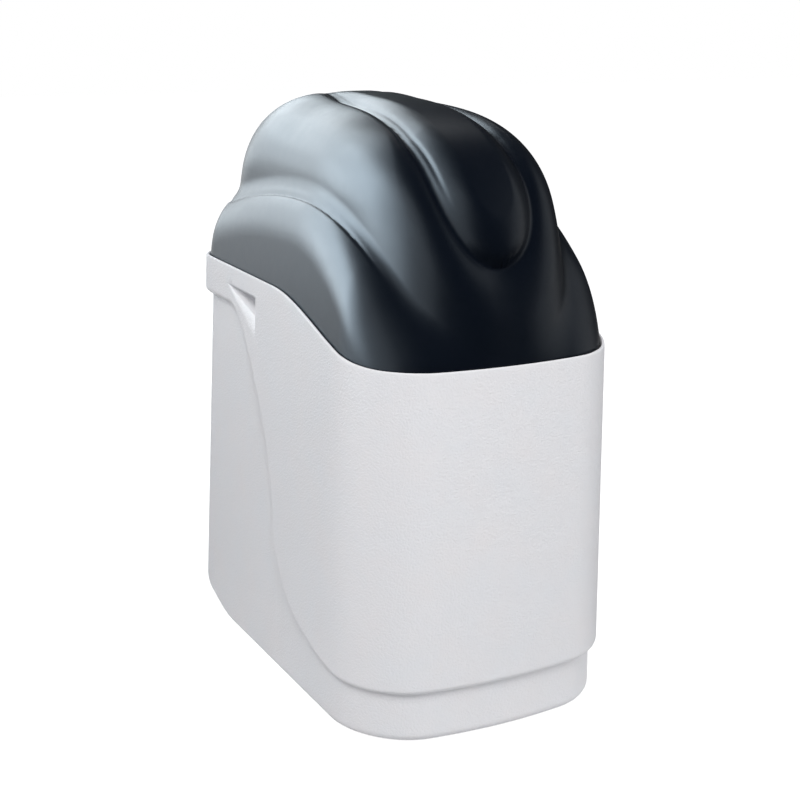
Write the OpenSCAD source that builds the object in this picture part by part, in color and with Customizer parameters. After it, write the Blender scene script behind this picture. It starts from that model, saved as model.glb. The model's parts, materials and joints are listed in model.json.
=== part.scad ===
// Cabinet water softener: a pale moulded cabinet holds the brine space and the resin vessel,
// and a black sculpted hood lifts off the rim above the control valve.
// The origin is the middle of the base, the front faces -Y and +Z is up.

/* [Cabinet] */
// Width across the rim
cabinet_w = 326; // [290:1:380]
// Depth from the front of the rim to its back
cabinet_d = 502; // [470:1:580]
// Height of the rim at the front
rim_front = 419; // [380:1:460]
// Height of the rim at the sides and the back
rim_rear = 465; // [430:1:500]
// How far the front bows forward at its middle
front_bow = 22; // [10:1:40]
// Plan radius of the front corners
front_corner = 75; // [55:1:95]
// Plan radius of the rear corners
rear_corner = 43; // [30:1:60]
// Growth of the half width from the front rim down to the base
cabinet_draft = 9.9; // [4:0.1:20]
// Wall thickness
cabinet_wall = 4; // [3:0.1:6]
// Floor thickness
floor_t = 5; // [4:0.1:8]
// Depth of the recess behind the raised wrap-around panel
panel_step = 7.3; // [4:0.1:9]
// Width of the rounded edge of the raised panel
panel_edge = 9; // [6:0.5:12]
// Height of the raised panel's lower edge at the front
panel_foot = 63; // [45:1:90]
// Height of the band left round the rim at the back
rear_band = 44; // [30:1:60]
// Radius of the rounded bottom edge
base_round = 10; // [6:1:18]
// Depth of the finger pockets at their upper front corner
pocket_depth = 20; // [12:1:24]
// Length of the finger pockets
pocket_len = 88; // [70:1:96]
// Height of the finger pockets
pocket_h = 51; // [40:1:60]

/* [Hood] */
// Height of the hood's crown above the front rim
hood_rise = 253; // [235:1:290]
// Wall thickness
hood_wall = 3; // [2.5:0.1:4]
// Gap between the hood and the rim that it sits in
hood_gap = 1.3; // [0.6:0.1:1.5]
// Gap between the hood's foot and the ledge in the rim
hood_seat = 0.7; // [0.5:0.1:1.5]
// Depth of the rebate in the rim
rebate_h = 11; // [8:0.5:16]
// Thickness of the rim beside the rebate
rim_lip = 2.8; // [2:0.1:3.2]
// Height of the side fenders above the front rim
fender_rise = 167; // [140:1:180]
// How far the upper body stands in from the cabinet's side
shoulder_inset = 36; // [28:1:44]
// Half width of the tongue at the crown
tongue_top = 54; // [44:1:60]
// Half width of the tongue at its round tip
tongue_tip = 40; // [32:1:44]
// Height of the centre of the tip above the front rim
tip_rise = 137; // [120:1:150]
// Depth of the channel round the tongue
channel_depth = 18; // [10:1:20]
// Half width of the pipe opening in the back
notch_half = 72; // [70:1:84]
// Height of the pipe opening above the rear rim
notch_rise = 74; // [70:1:80]

/* [Vessel] */
// Diameter of the resin vessel
vessel_d = 257; // [220:1:266]
// Wall of the vessel
vessel_wall = 4; // [3:0.1:6]
// Space between the vessel and the back wall
vessel_back = 10.5; // [8:0.5:20]
// How far the vessel's neck ends below the rear rim
neck_drop = 20; // [15:1:30]
// Radius of the neck's bore
neck_bore = 32; // [30:0.5:36]
// Height of the foot cup round the vessel
boot_h = 60; // [56:1:90]
// Share of the vessel's straight wall that the resin fills
resin_fill = 0.65; // [0.4:0.05:0.8]
// Radius of the riser tube
riser_r = 13.35; // [12:0.05:14]

/* [Valve] */
// Height of the piston's axis above the vessel's neck
valve_rise = 65; // [62:1:70]
// Radius of the valve body
valve_r = 36; // [35:0.5:40]
// Radius of the piston chamber
chamber_r = 28; // [26:0.5:29]
// Travel of the piston
piston_travel = 24; // [16:1:26]
// Distance of the ports from the middle
port_x = 42; // [41:0.5:44]
// Radius of the ports
port_r = 17; // [16:0.5:18]
// Radius of the ports' bores
port_bore = 12.5; // [11:0.5:13]
// Module of the gears
gear_module = 1.25; // [1.2:0.05:1.3]
// Width of the control cover
cover_w = 172; // [168:1:180]
// Height of the control cover
cover_h = 148; // [146:1:152]
// Wall of the control cover
cover_t = 2.5; // [2:0.1:3]
// Radius of the keys
key_r = 5.5; // [4.5:0.1:6]
// Travel of the keys
key_travel = 1.2; // [0.8:0.1:1.5]

/* [Brine] */
// Radius of the brine well
well_r = 52; // [48:1:56]
// Wall of the brine well
well_wall = 2.5; // [2:0.1:3]
// How far the top of the brine well stays below the front rim
well_drop = 18; // [10:1:40]
// Middle of the brine well from the cabinet's left side
well_from_side = 75; // [70:1:85]
// Middle of the brine well from the cabinet's front
well_from_front = 123; // [116:1:135]
// Radius of the float
float_r = 15; // [12:0.5:17]
// Length of the float
float_h = 70; // [50:1:90]
// Radius of the brine tube
tube_r = 4.75; // [4:0.05:5]
// Radius of the overflow fitting's shank
overflow_r = 9; // [8:0.5:10]

/* [Hidden] */
// Running gap between pieces that move on each other
run = 0.3;
eps = 0.01;
$fn = 72;

// Cabinet outline and rim
half_w = cabinet_w / 2;
half_d = cabinet_d / 2;
hood_inset = rim_lip + hood_gap;
ledge_inset = hood_inset + hood_wall + 3;
ledge_t = 3;
rim_low_y = -half_d + 34;
rim_high_y = 15;
front_centre = [-(half_w - front_corner),
    -(half_d - front_corner) + front_bow * pow(1 - front_corner / half_w, 2)];
rear_centre = [-(half_w - rear_corner), half_d - rear_corner];

// Edge of the raised panel on the cabinet's side: two curves in depth and height
panel_top_z = rim_rear - rear_band;
edge_power = 1.9;
edge_rear = [half_d - 111, panel_top_z];
edge_rear_pull = [half_d - 156, panel_top_z];
edge_mid_above = [8, 285];
edge_mid = [-4, 195];
edge_mid_below = [-10, 110];
edge_front_pull = [-90, panel_foot];
edge_front = [rim_low_y, panel_foot];
upper_edge = [edge_rear, edge_rear_pull, edge_mid_above, edge_mid];
lower_edge = [edge_mid, edge_mid_below, edge_front_pull, edge_front];

// Finger pockets, under the rim at each side
pocket_y = half_d - 192;
pocket_z = rim_rear - 22;
pocket_lip = 0.75;

// Hood form
skirt_foot = rebate_h - hood_seat;
fender_blend = 56;
fender_peak_y = -17;
fender_fall_front = 0.0033;
fender_fall_rear = 0.0008;
fender_lean = 0.07;
fender_foot = 42;
shoulder_lean = 0.1;
shoulder_blend = 74;
shoulder_z = rim_front + 126;
shoulder_taper = 0.00093;
shoulder_taper_y = -13;
ledge_blend = 8.4;
crown_y = 36;
crown_front = half_d - hood_inset - 0.4 * ledge_blend + crown_y;
crown_rear = half_d - 17.5 - crown_y;
crown_foot = rim_front - 10;
crown_h = hood_rise + 10;
crown_power_front = 2.7;
crown_power_rear = 4.3;
tongue_crown = channel_depth / 2;
tongue_tip_z = rim_front + tip_rise;
tongue_wide_z = rim_front + 226;
tongue_narrow_z = rim_front + 106;
tongue_end_y = 165;
tongue_fade = 110;
foot_fade = 70;
ridge_share = 0.6;
ray_foot = rim_front - 14;
notch_top = rim_rear + notch_rise;

// Vessel, from the floor up
vessel_r = vessel_d / 2;
vessel_y = half_d - cabinet_wall - vessel_back - vessel_r;
boot_wall = 3;
boot_r = vessel_r + run + boot_wall;
vessel_foot = floor_t + boot_wall + run;
dome_h = 50;
neck_top = rim_rear - neck_drop;
neck_h = 16;
neck_r = neck_bore + 8;
shoulder_top = neck_top - neck_h - dome_h;
strainer_r = 27;
strainer_h = 44;
strainer_foot = vessel_foot + vessel_wall + 2;

// Control valve on the neck
valve_z = neck_top + valve_rise;
valve_front = vessel_y - 42;
valve_back = vessel_y + 62;
chamber_back = valve_back - 6;
flange_r = 54;
flange_h = 18;
port_end = half_d + 1;
spigot_h = 14;
boss_top = valve_z + valve_r + 7;
injector_y = vessel_y + 10;
brine_y = vessel_y - 20;
drain_y = vessel_y + 42;
elbow_r = 10;
turbine_l = 14;
turbine_y = port_end - 60;
spindle_r = 1.5;
blade_pitch = 30;

// Drive train in front of the valve, all axes along Y
bracket_t = 4;
bracket_back = valve_front;
bracket_front = bracket_back - bracket_t;
cap_t = 8;
cap_front = bracket_front - cap_t;
cap_boss_r = 12;
cap_boss_h = 12;
main_teeth = 60;
small_teeth = 16;
large_teeth = 48;
pinion_teeth = 12;
gear_play = 0.5;
gear_w = 8;
main_back = cap_front - 2;
main_front = main_back - gear_w;
train_back = main_front - 3;
train_w = 7;
train_front = train_back - train_w;
train_angle = 60;
train_d = gear_module * (main_teeth + small_teeth) / 2 + gear_play;
train_x = train_d * cos(train_angle);
train_z = valve_z + train_d * sin(train_angle);
pinion_d = gear_module * (large_teeth + pinion_teeth) / 2 + gear_play;
pinion_x = train_x + pinion_d;
axle_r = 3;
motor_r = 14;
motor_l = 34;
rod_r = 4;
piston_r = 14;
piston_l = 45;
piston_front = valve_front + 8;
rod_front = train_front - 12;

// Control cover, board and keys
cover_x = 5;
cover_z = neck_top + flange_h + 1 + cover_h / 2;
cover_back = bracket_front;
board_t = 1.6;
board_back = rod_front - 8;
board_front = board_back - board_t;
standoff_h = 8;
cover_front = board_front - standoff_h - cover_t;
window_w = 56;
window_h = 28;
window_z = cover_z + 28;
key_gap = 22;
key_z = cover_z - 24;
key_foot = board_front - key_travel - 0.6;
socket_r = 6;
socket_bore = 3.2;
socket_depth = 10;
socket_y = cover_front + 22;
socket_z = cover_z - 40;
board_w = 122;
board_h = 98;
post_inset = 7;

// Bypass behind the hood
housing_r = 20;
housing_h = 42;
rotor_r = 15;
nut_r = port_r + 7;
nut_l = 17;
bypass_y = port_end + nut_l / 2 + 4 + housing_r;
bypass_end = bypass_y + housing_r + 4 + nut_l / 2;
tail_r = 13.35;
tail_bore = 11;
tail_l = 26;

// Brine well and float
well_x = -(half_w - well_from_side);
well_y = -half_d + well_from_front;
slot_z = 12;
slot_w = 6;
slot_h = 36;
well_top = rim_front - well_drop;
cap_r = well_r + 3;
safety_r = 16;
safety_h = 60;
safety_foot = floor_t + 12;
safety_pipe_r = 6;
safety_drop = 25;
safety_top = well_top - safety_drop;
float_offset = 24;
float_x = well_x + float_offset;
float_rod_r = 2.5;
float_clear = 125;
float_foot = safety_foot + safety_h + float_clear;
guide_drop = 55;
guide_z = safety_top - guide_drop;
rod_below = 30;
rod_above = 40;

// Overflow fitting in the back wall, with a seat on each side of the sloping wall
overflow_x = half_w - 79;
overflow_z = 330;
overflow_grip = 7;
overflow_face = half_d + cabinet_draft * (rim_front - overflow_z) / rim_front - panel_step;
overflow_lean = cabinet_draft / rim_front * (overflow_r + overflow_grip + 1);
seat_out = overflow_face + overflow_lean + 0.1;
seat_in = overflow_face - cabinet_wall - overflow_lean - 0.1;
gasket_t = 2.5;

// Route of the brine tube from the valve's elbow round the left side into the brine well
nozzle_l = 40;
nozzle_z = boss_top + 12;
tube_start = [-nozzle_l, brine_y, nozzle_z];
tube_end = [well_x, well_y + 22, safety_top + 5];
tube_route = [tube_start, tube_start + [-12, 0, 0], tube_start + [-34, -3, 0], tube_start + [-56, -14, -2],
    tube_start + [-68, -38, -8], tube_start + [-73, -68, -20], tube_end + [-20, 106, 118],
    tube_end + [-16, 84, 80], tube_end + [-10, 66, 44], tube_end + [-4, 52, 16],
    tube_end + [0, 34, 2], tube_end + [0, 18, 0], tube_end];
tube_sides = 10;
tube_steps = 4;

// Smooth maximum and minimum, with k as the width of the blend
function smooth_max(a, b, k) = let (h = max(k - abs(a - b), 0) / k) max(a, b) + h * h * k / 4;
function smooth_min(a, b, k) = -smooth_max(-a, -b, k);
// Smooth step from 0 to 1
function smooth_step(t) = let (c = min(max(t, 0), 1)) c * c * (3 - 2 * c);

// Step that starts sharp at 0 and rounds off towards 1
function round_step(t) = pow(1 - pow(1 - t, edge_power), 1 / edge_power);

// Distance in plan from the cabinet's outline, moved in by inset
function plan_d(x, y, inset) =
    let (r = y < 0 ? front_corner : rear_corner)
    let (qx = abs(x) - (half_w - inset) + r)
    let (bow = y < 0 ? front_bow * pow(x / half_w, 2) : 0)
    let (qy = abs(y) - (half_d - inset) + bow + r)
    norm([max(qx, 0), max(qy, 0)]) + min(max(qx, qy), 0) - r;

// Distance along a ray in plan to the outline
function plan_reach(o, h, inset, lo = 0, hi = 400, n = 18) =
    let (m = (lo + hi) / 2)
    n == 0 ? m :
    plan_d(o.x + m * h.x, o.y + m * h.y, inset) > 0
        ? plan_reach(o, h, inset, lo, m, n - 1)
        : plan_reach(o, h, inset, m, hi, n - 1);

// Height of the rim, low at the front and high at the back
function rim_z(y) =
    rim_front + (rim_rear - rim_front) * smooth_step((y - rim_low_y) / (rim_high_y - rim_low_y));

// Arcs of the two corners on the left, from the front round to the back
function front_arc(a) = front_centre + front_corner * [-sin(a), -cos(a)];
function rear_arc(a) = rear_centre + rear_corner * [-sin(a), -cos(a)];

// A half outline closed by its own mirror image
function mirrored(half) = concat(half, [for (i = [len(half) - 2:-1:1]) [-half[i].x, half[i].y]]);

// Closed faces between rings of n points, with caps on the first and the last
function ring_faces(rings, n) = concat(
    [[for (i = [n - 1:-1:0]) i]],
    [for (j = [0:rings - 2], i = [0:n - 1], k = [0, 1])
        let (a = j * n + i, b = j * n + (i + 1) % n)
        k == 0 ? [a, b, b + n] : [a, b + n, a + n]],
    [[for (i = [0:n - 1]) (rings - 1) * n + i]]);

// Height of the raised panel's edge, and the curve that it follows on the side
function bezier(p, t) = pow(1 - t, 3) * p[0] + 3 * t * pow(1 - t, 2) * p[1]
    + 3 * t * t * (1 - t) * p[2] + t * t * t * p[3];
function bezier_at(p, y, lo = 0, hi = 1, n = 16) =
    let (m = (lo + hi) / 2)
    n == 0 ? bezier(p, m).y :
    bezier(p, m).x > y ? bezier_at(p, y, m, hi, n - 1) : bezier_at(p, y, lo, m, n - 1);
function panel_z(y) =
    y >= edge_rear.x ? panel_top_z :
    y <= edge_front.x ? panel_foot :
    y >= edge_mid.x ? bezier_at(upper_edge, y) : bezier_at(lower_edge, y);

// Depth of the finger pocket at a point of the side, and of its housing inside
function pocket_d(y, z, grow) =
    y < pocket_y - grow || z > pocket_z + grow ? 0 :
    let (along = max(y - pocket_y, 0) / pocket_len)
    let (down = max(pocket_z - z, 0) / pocket_h)
    pocket_depth * max(1 - along - down, 0);

// Inset of the cabinet's outer face at a height, without the recess
function draft_at(z) = -cabinet_draft * (rim_front - z) / rim_front;

// Profile of the cabinet at one place, from the bottom edge over the rim to the floor:
// height and inset, and for the rim also the depth below it
function cabinet_profile(y, side) =
    let (rim = rim_z(y))
    let (edge = panel_z(y))
    let (slope = panel_z(y + 0.5) - panel_z(y - 0.5))
    let (reach = (side ? panel_edge : panel_edge * 0.6) / 2 * sqrt(1 + slope * slope))
    let (top = edge + reach)
    let (ceiling = rim - rim_rear + pocket_z)
    let (lip = pocket_lip)
    let (pocket_in = side ? cabinet_wall - 1 : 0)
    concat(
        [for (a = [0:30:90])
            let (z = base_round * (1 - cos(a)))
            [z, draft_at(z) + panel_step + base_round * (1 - sin(a))]],
        [for (z = [(base_round + edge - reach) / 2]) [z, draft_at(z) + panel_step]],
        [for (t = [-1:0.5:1])
            let (z = edge + t * reach)
            [z, draft_at(z) + panel_step * (1 - round_step((t + 1) / 2))]],
        [for (z = [top + (ceiling - lip - top) / 3, top + (ceiling - lip - top) * 2 / 3, ceiling - lip])
            [z, draft_at(z) + (side ? pocket_d(y, z, 0) : 0)]],
        [[ceiling + lip, draft_at(ceiling + lip)]],
        [for (q = [[1.2, 0], [0, 0.9], [0, rim_lip], [rebate_h, rim_lip], [rebate_h, ledge_inset],
            [rebate_h + ledge_t, ledge_inset]]) [rim - q[0], draft_at(rim) + q[1], q[0]]],
        [[ceiling + 2, draft_at(ceiling) + cabinet_wall]],
        [for (z = [ceiling + 1.4, top + (ceiling - top) * 2 / 3, top + (ceiling - top) / 3])
            [z, draft_at(z) + cabinet_wall + (side ? pocket_d(y, min(z, pocket_z), pocket_in) : 0)]],
        [for (t = [1, 0, -1])
            let (z = edge + t * reach)
            [z, draft_at(z) + cabinet_wall + panel_step * (1 - smooth_step((t + 1) / 2))]],
        [[base_round, draft_at(base_round) + panel_step + cabinet_wall]],
        [[floor_t, draft_at(floor_t) + panel_step + cabinet_wall + base_round / 2]]);

// Left half of the cabinet's outline, closer set along the panel's edge and at the pocket
function cabinet_half() = concat(
    [for (i = [0:4]) [front_centre.x * i / 5, -half_d]],
    [for (a = [0:15:45]) front_arc(a)],
    [for (t = [1:-0.1:0.05]) [-half_w, bezier(lower_edge, t).x]],
    [for (t = [1:-1 / 12:0.6]) [-half_w, bezier(upper_edge, t).x]],
    [for (d = [-cabinet_wall - 1, -cabinet_wall + 0.5, -pocket_lip, pocket_lip]) [-half_w, pocket_y + d]],
    [for (t = [5:-1:0]) [-half_w, bezier(upper_edge, t / 12).x]],
    [for (d = [0.35, 0.7]) [-half_w, edge_rear.x + (rear_centre.y - edge_rear.x) * d]],
    [for (a = [90:22.5:180]) rear_arc(a)],
    [for (i = [3:-1:0]) [rear_centre.x * i / 4, half_d]]);

// Hollow cabinet with its overflow hole
module cabinet() {
    outline = mirrored(cabinet_half());
    n = len(outline);
    focus = half_d - half_w;
    profiles = [for (p = outline) cabinet_profile(p.y, abs(p.x) > half_w - 1)];
    rings = len(profiles[0]);
    points = [for (j = [0:rings - 1], i = [0:n - 1])
        let (p = outline[i], o = [0, min(max(p.y, -focus), focus)], h = (p - o) / norm(p - o))
        let (q = profiles[i][j], t = plan_reach(o, h, q[1]), y = o.y + t * h.y)
        [o.x + t * h.x, y, is_undef(q[2]) ? q[0] : rim_z(y) - q[2]]];
    color("whitesmoke") difference() {
        polyhedron(points, ring_faces(rings, n));
        y_rod(overflow_r + run, half_d - 40, half_d + 20, overflow_x, overflow_z);
    }
}

// Top of the side fenders: an arch that falls towards both ends
function fender_z(y) =
    let (t = y - fender_peak_y)
    let (arch = rim_front + fender_rise - (t < 0 ? fender_fall_front : fender_fall_rear) * t * t)
    smooth_max(arch, rim_front + fender_foot, fender_foot);

// Distance from the crown's long profile, a superellipse that is steeper at the back
function crown_d(y, z) =
    let (reach = y < crown_y ? crown_front : crown_rear)
    let (power = y < crown_y ? crown_power_front : crown_power_rear)
    let (u = abs(y - crown_y) / reach, v = max(z - crown_foot, 0) / crown_h)
    (pow(pow(u, power) + pow(v, power), 1 / power) - 1) * crown_h;

// Crowned tongue down the middle, with a channel round it that fades out at the back
function tongue_relief(x, y, z) =
    let (widen = smooth_step((z - tongue_narrow_z) / (tongue_wide_z - tongue_narrow_z)))
    let (w = tongue_tip + (tongue_top - tongue_tip) * widen)
    let (rho = norm([x, max(tongue_tip_z - z, 0)]), d = rho - w)
    let (flank = tongue_crown * pow(min(rho / w, 1), 2.4))
    let (drop = (channel_depth - tongue_crown) * smooth_step((d + 3) / 9))
    let (shoulder = channel_depth * 2 / 3 * smooth_step((d - 7) / 34))
    let (fade = smooth_step((tongue_end_y - y) / tongue_fade) * smooth_step((z - rim_front) / foot_fade))
    fade * (flank + drop - shoulder);

// Distance from the hood's outer face: fenders below, shouldered upper body above
function hood_d(x, y, z) =
    let (rim = rim_z(y), lean = hood_inset + draft_at(rim) + max(z - rim, 0) * fender_lean)
    let (fender = smooth_max(plan_d(x, y, lean), z - fender_z(y), fender_blend))
    let (taper = shoulder_taper * pow(max(shoulder_taper_y - y, 0), 2))
    let (side = abs(x) - (half_w - shoulder_inset - (z - shoulder_z) * shoulder_lean - taper))
    let (upper = smooth_max(side, crown_d(y, z) + tongue_relief(x, y, z), shoulder_blend))
    smooth_min(fender, upper, ledge_blend);

// Distance to the hood's face along a ray that rises at an angle from a point of the ridge line
function hood_reach(o, h, z, a, level, lo = 0, hi = 420, n = 17) =
    let (m = (lo + hi) / 2, c = m * cos(a))
    n == 0 ? m :
    hood_d(o.x + c * h.x, o.y + c * h.y, z + m * sin(a)) > level
        ? hood_reach(o, h, z, a, level, lo, m, n - 1)
        : hood_reach(o, h, z, a, level, m, hi, n - 1);

// One column of the hood's face, from its foot up to the ridge
function hood_column(p, level, rows) =
    let (o = [0, p.y * ridge_share], h = (p - o) / norm(p - o))
    let (open = p.y > half_d - 1 && abs(p.x) < notch_half)
    let (rim = rim_z(p.y))
    let (foot = open ? notch_top : rim - skirt_foot)
    let (start = max(rim, foot + 4))
    let (t_foot = hood_reach(o, h, max(foot, rim), 0, level))
    let (t_start = hood_reach(o, h, start, 0, level))
    let (a0 = atan2(start - ray_foot, t_start))
    concat(
        [[o.x + t_foot * h.x, o.y + t_foot * h.y, open ? foot : rim_z(o.y + t_foot * h.y) - skirt_foot]],
        [for (j = [0:rows - 1])
            let (a = a0 + (90 - a0) * j / rows, t = hood_reach(o, h, ray_foot, a, level))
            [o.x + t * cos(a) * h.x, o.y + t * cos(a) * h.y, ray_foot + t * sin(a)]],
        [[0, o.y, ray_foot + hood_reach(o, h, ray_foot, 90, level)]]);

// Left half of the hood's outline, with a close pair at the pipe opening's edge
function hood_half() = concat(
    [for (i = [0:3]) [front_centre.x * i / 4, -half_d]],
    [for (a = [0:15:90]) front_arc(a)],
    [for (i = [1:15]) [-half_w, front_centre.y + (rear_centre.y - front_centre.y) * i / 16]],
    [for (a = [90:22.5:180]) rear_arc(a)],
    [for (x = [notch_half + 22, notch_half + 0.7, notch_half - 0.7, notch_half * 0.6, notch_half * 0.3, 0])
        [-x, half_d]]);

// One-piece hood shell, open below and at the pipe opening
module hood() {
    half = hood_half();
    outline = mirrored(half);
    n = len(outline);
    last = len(half) - 1;
    outer_rows = 24;
    inner_rows = 14;
    outer = [for (p = outline) hood_column(p, 0, outer_rows)];
    inner = [for (p = outline) hood_column(p, -hood_wall, inner_rows)];
    points = concat(
        [for (j = [0:outer_rows], i = [0:n - 1]) outer[i][j]],
        [for (i = [0:last]) outer[i][outer_rows + 1]],
        [for (j = [0:inner_rows], i = [0:n - 1]) inner[i][j]],
        [for (i = [0:last]) inner[i][inner_rows + 1]]);
    inner_at = n * (outer_rows + 1) + last + 1;
    // The top row of each face lies on the ridge and is shared by both sides
    faces = concat(
        shell_faces(0, outer_rows, n, last, false),
        shell_faces(inner_at, inner_rows, n, last, true),
        [for (i = [0:n - 1], k = [0, 1])
            let (b = (i + 1) % n)
            k == 0 ? [i, inner_at + i, inner_at + b] : [i, inner_at + b, b]]);
    color("#15181d") polyhedron(points, faces);
}

// Faces of one side of the hood, flipped for the inside
function shell_faces(base, rows, n, last, flip) =
    [for (j = [0:rows], i = [0:n - 1], k = [0, 1])
        let (b = (i + 1) % n, top = base + n * (rows + 1))
        let (lo0 = base + j * n + i, lo1 = base + j * n + b)
        let (up0 = j < rows ? lo0 + n : top + (i <= last ? i : n - i))
        let (up1 = j < rows ? lo1 + n : top + (b <= last ? b : n - b))
        let (face = k == 0 ? [lo0, lo1, up1] : [lo0, up1, up0])
        if (k == 0 || up0 != up1) flip ? [face[0], face[2], face[1]] : face];

// Straight round bars along each axis
module x_rod(r, x0, x1, y, z) translate([x0, y, z]) rotate([0, 90, 0]) cylinder(r = r, h = x1 - x0);
module y_rod(r, y0, y1, x, z) translate([x, y0, z]) rotate([-90, 0, 0]) cylinder(r = r, h = y1 - y0);
module z_rod(r, z0, z1, x, y) translate([x, y, z0]) cylinder(r = r, h = z1 - z0);

// Revolved profile on the vessel's axis
module on_vessel() translate([0, vessel_y, 0]) rotate_extrude() children();

// Quarter of an ellipse from the wall to the axis, as points of a profile
function dome(r, z, h, r_end) =
    let (end = acos(r_end / r))
    [for (a = [0:end / 12:end + eps]) [r * cos(a), z + h * sin(a)]];

// Wound resin vessel with dished ends and an open neck
module pressure_vessel() color("steelblue") difference() {
    on_vessel() vessel_outline(0);
    on_vessel() vessel_outline(vessel_wall);
    z_rod(neck_bore, shoulder_top, neck_top + 1, 0, vessel_y);
}
module vessel_outline(t) {
    low = vessel_foot + dome_h;
    top_r = t > 0 ? eps : neck_r;
    neck = t > 0 ? [] : [[neck_r, neck_top], [0, neck_top]];
    polygon(concat(
        [for (a = [90:-7.5:0]) [(vessel_r - t) * cos(a), low - (dome_h - t) * sin(a)]],
        [for (p = dome(vessel_r - t, shoulder_top, dome_h - t, top_r)) p],
        t > 0 ? [[0, shoulder_top + dome_h - t]] : neck));
}

// Foot cup that holds the round vessel upright on the floor
module vessel_boot() color("#202327") on_vessel() {
    low = vessel_foot + dome_h;
    r = vessel_r + run;
    h = dome_h + run;
    top = floor_t + boot_h;
    polygon(concat(
        [[0, floor_t], [boot_r - 4, floor_t], [boot_r, floor_t + 4], [boot_r, top], [r, top]],
        [for (a = [0:7.5:90]) [r * cos(a), low - h * sin(a)]]));
}

// Bed of resin beads round the riser and its strainer
module resin_bed() color("goldenrod") difference() {
    low = vessel_foot + dome_h;
    r = vessel_r - vessel_wall - run;
    on_vessel() polygon(concat(
        [for (a = [90:-7.5:0]) [r * cos(a), low - (dome_h - vessel_wall - run) * sin(a)]],
        [[r, low + (shoulder_top - low) * resin_fill], [0, low + (shoulder_top - low) * resin_fill]]));
    z_rod(riser_r + run, 0, neck_top, 0, vessel_y);
    z_rod(strainer_r + run, 0, strainer_foot + strainer_h + run, 0, vessel_y);
}

// Riser tube from the lower strainer up into the valve
module riser_tube() color("ivory") difference() {
    z_rod(riser_r, strainer_foot + 6, neck_top + 12, 0, vessel_y);
    z_rod(riser_r - 2.3, strainer_foot, neck_top + 20, 0, vessel_y);
}

// Slotted basket at the foot of the riser
module lower_strainer() color("ivory") difference() {
    z_rod(strainer_r, strainer_foot, strainer_foot + strainer_h, 0, vessel_y);
    z_rod(riser_r + run, strainer_foot + 6 - run, neck_top, 0, vessel_y);
    z_rod(strainer_r - 3, strainer_foot + 10, strainer_foot + strainer_h - 6, 0, vessel_y);
    for (a = [0:30:150]) translate([0, vessel_y, strainer_foot + 14])
        rotate(a) translate([-strainer_r - 1, -1.5, 0])
            cube([2 * strainer_r + 2, 3, strainer_h - 24]);
}

// Slotted cone under the valve
module upper_strainer() color("ivory") difference() {
    r = neck_bore - 5;
    foot = neck_top - spigot_h - 34;
    translate([0, vessel_y, foot]) cylinder(r1 = r - 4, r2 = r, h = 34);
    z_rod(riser_r + run, 0, neck_top, 0, vessel_y);
    translate([0, vessel_y, foot + 3]) cylinder(r1 = r - 7, r2 = r - 3, h = 28);
    for (a = [0:30:150]) translate([0, vessel_y, foot + 6]) rotate(a)
        translate([-r - 1, -1.5, 0]) cube([2 * r + 2, 3, 22]);
}

// Seal between the neck and the valve
module neck_seal() color("#111111") translate([0, vessel_y, neck_top + 2]) rotate_extrude()
    translate([neck_bore + 4, 0]) circle(r = 1.9, $fn = 32);

// Moulded valve body with its neck, piston chamber and two ports
module valve_body() color("#2a2d31") {
    valve_casting();
    // Bar across the outlet port, with the turbine's spindle
    translate([-port_x - port_bore - 1, turbine_y - 8, valve_z - 2]) cube([2 * port_bore + 2, 4, 4]);
    y_rod(spindle_r, turbine_y - 5, turbine_y + turbine_l + 1, -port_x, valve_z);
}
module valve_casting() difference() {
    union() {
        z_rod(neck_bore - run, neck_top - spigot_h, neck_top + 2, 0, vessel_y);
        z_rod(flange_r, neck_top, neck_top + flange_h, 0, vessel_y);
        for (a = [0:30:330]) translate([0, vessel_y, neck_top]) rotate(a)
            translate([flange_r - 2, -4, 0]) cube([6, 8, flange_h]);
        z_rod(flange_r - 12, neck_top + flange_h - 1, valve_z, 0, vessel_y);
        y_rod(valve_r, valve_front, valve_back, 0, valve_z);
        y_rod(valve_r + 6, valve_front, valve_front + 8, 0, valve_z);
        for (s = [-1, 1]) {
            y_rod(port_r, vessel_y - 8, port_end, s * port_x, valve_z);
            y_rod(port_r + 2, port_end - nut_l / 2 - 3, port_end - nut_l / 2, s * port_x, valve_z);
        }
        z_rod(16, valve_z, boss_top, 0, injector_y);
        for (y = [brine_y, drain_y]) z_rod(elbow_r + 2, valve_z, boss_top, 0, y);
    }
    z_rod(riser_r + run, 0, valve_z, 0, vessel_y);
    translate([0, vessel_y, neck_top + 2]) rotate_extrude()
        translate([neck_bore + 4, 0]) circle(r = 2.2, $fn = 32);
    translate([0, vessel_y, neck_top - eps]) rotate_extrude() translate([neck_bore + 2.5, 0]) square([3, 2]);
    y_rod(chamber_r, valve_front - 1, chamber_back, 0, valve_z);
    for (s = [-1, 1]) y_rod(port_bore, vessel_y + 4, port_end + 1, s * port_x, valve_z);
    x_rod(port_bore - 3, -port_x, port_x, vessel_y + 14, valve_z);
}

// Stack of spacers and seals in the chamber, with cross ports
module seal_stack() color("#b8bcc0") difference() {
    front = valve_front + 6;
    back = chamber_back - run;
    y_rod(chamber_r - run, front, back, 0, valve_z);
    y_rod(piston_r + run, front - 1, back + 1, 0, valve_z);
    for (y = [front + 8:14:back - 8]) {
        translate([0, y, valve_z]) rotate([-90, 0, 0]) rotate_extrude()
            translate([chamber_r - run - 3, 0]) square([4, 8]);
        translate([-chamber_r, y + 1, valve_z - 4]) cube([2 * chamber_r, 6, 8]);
    }
}

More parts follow.
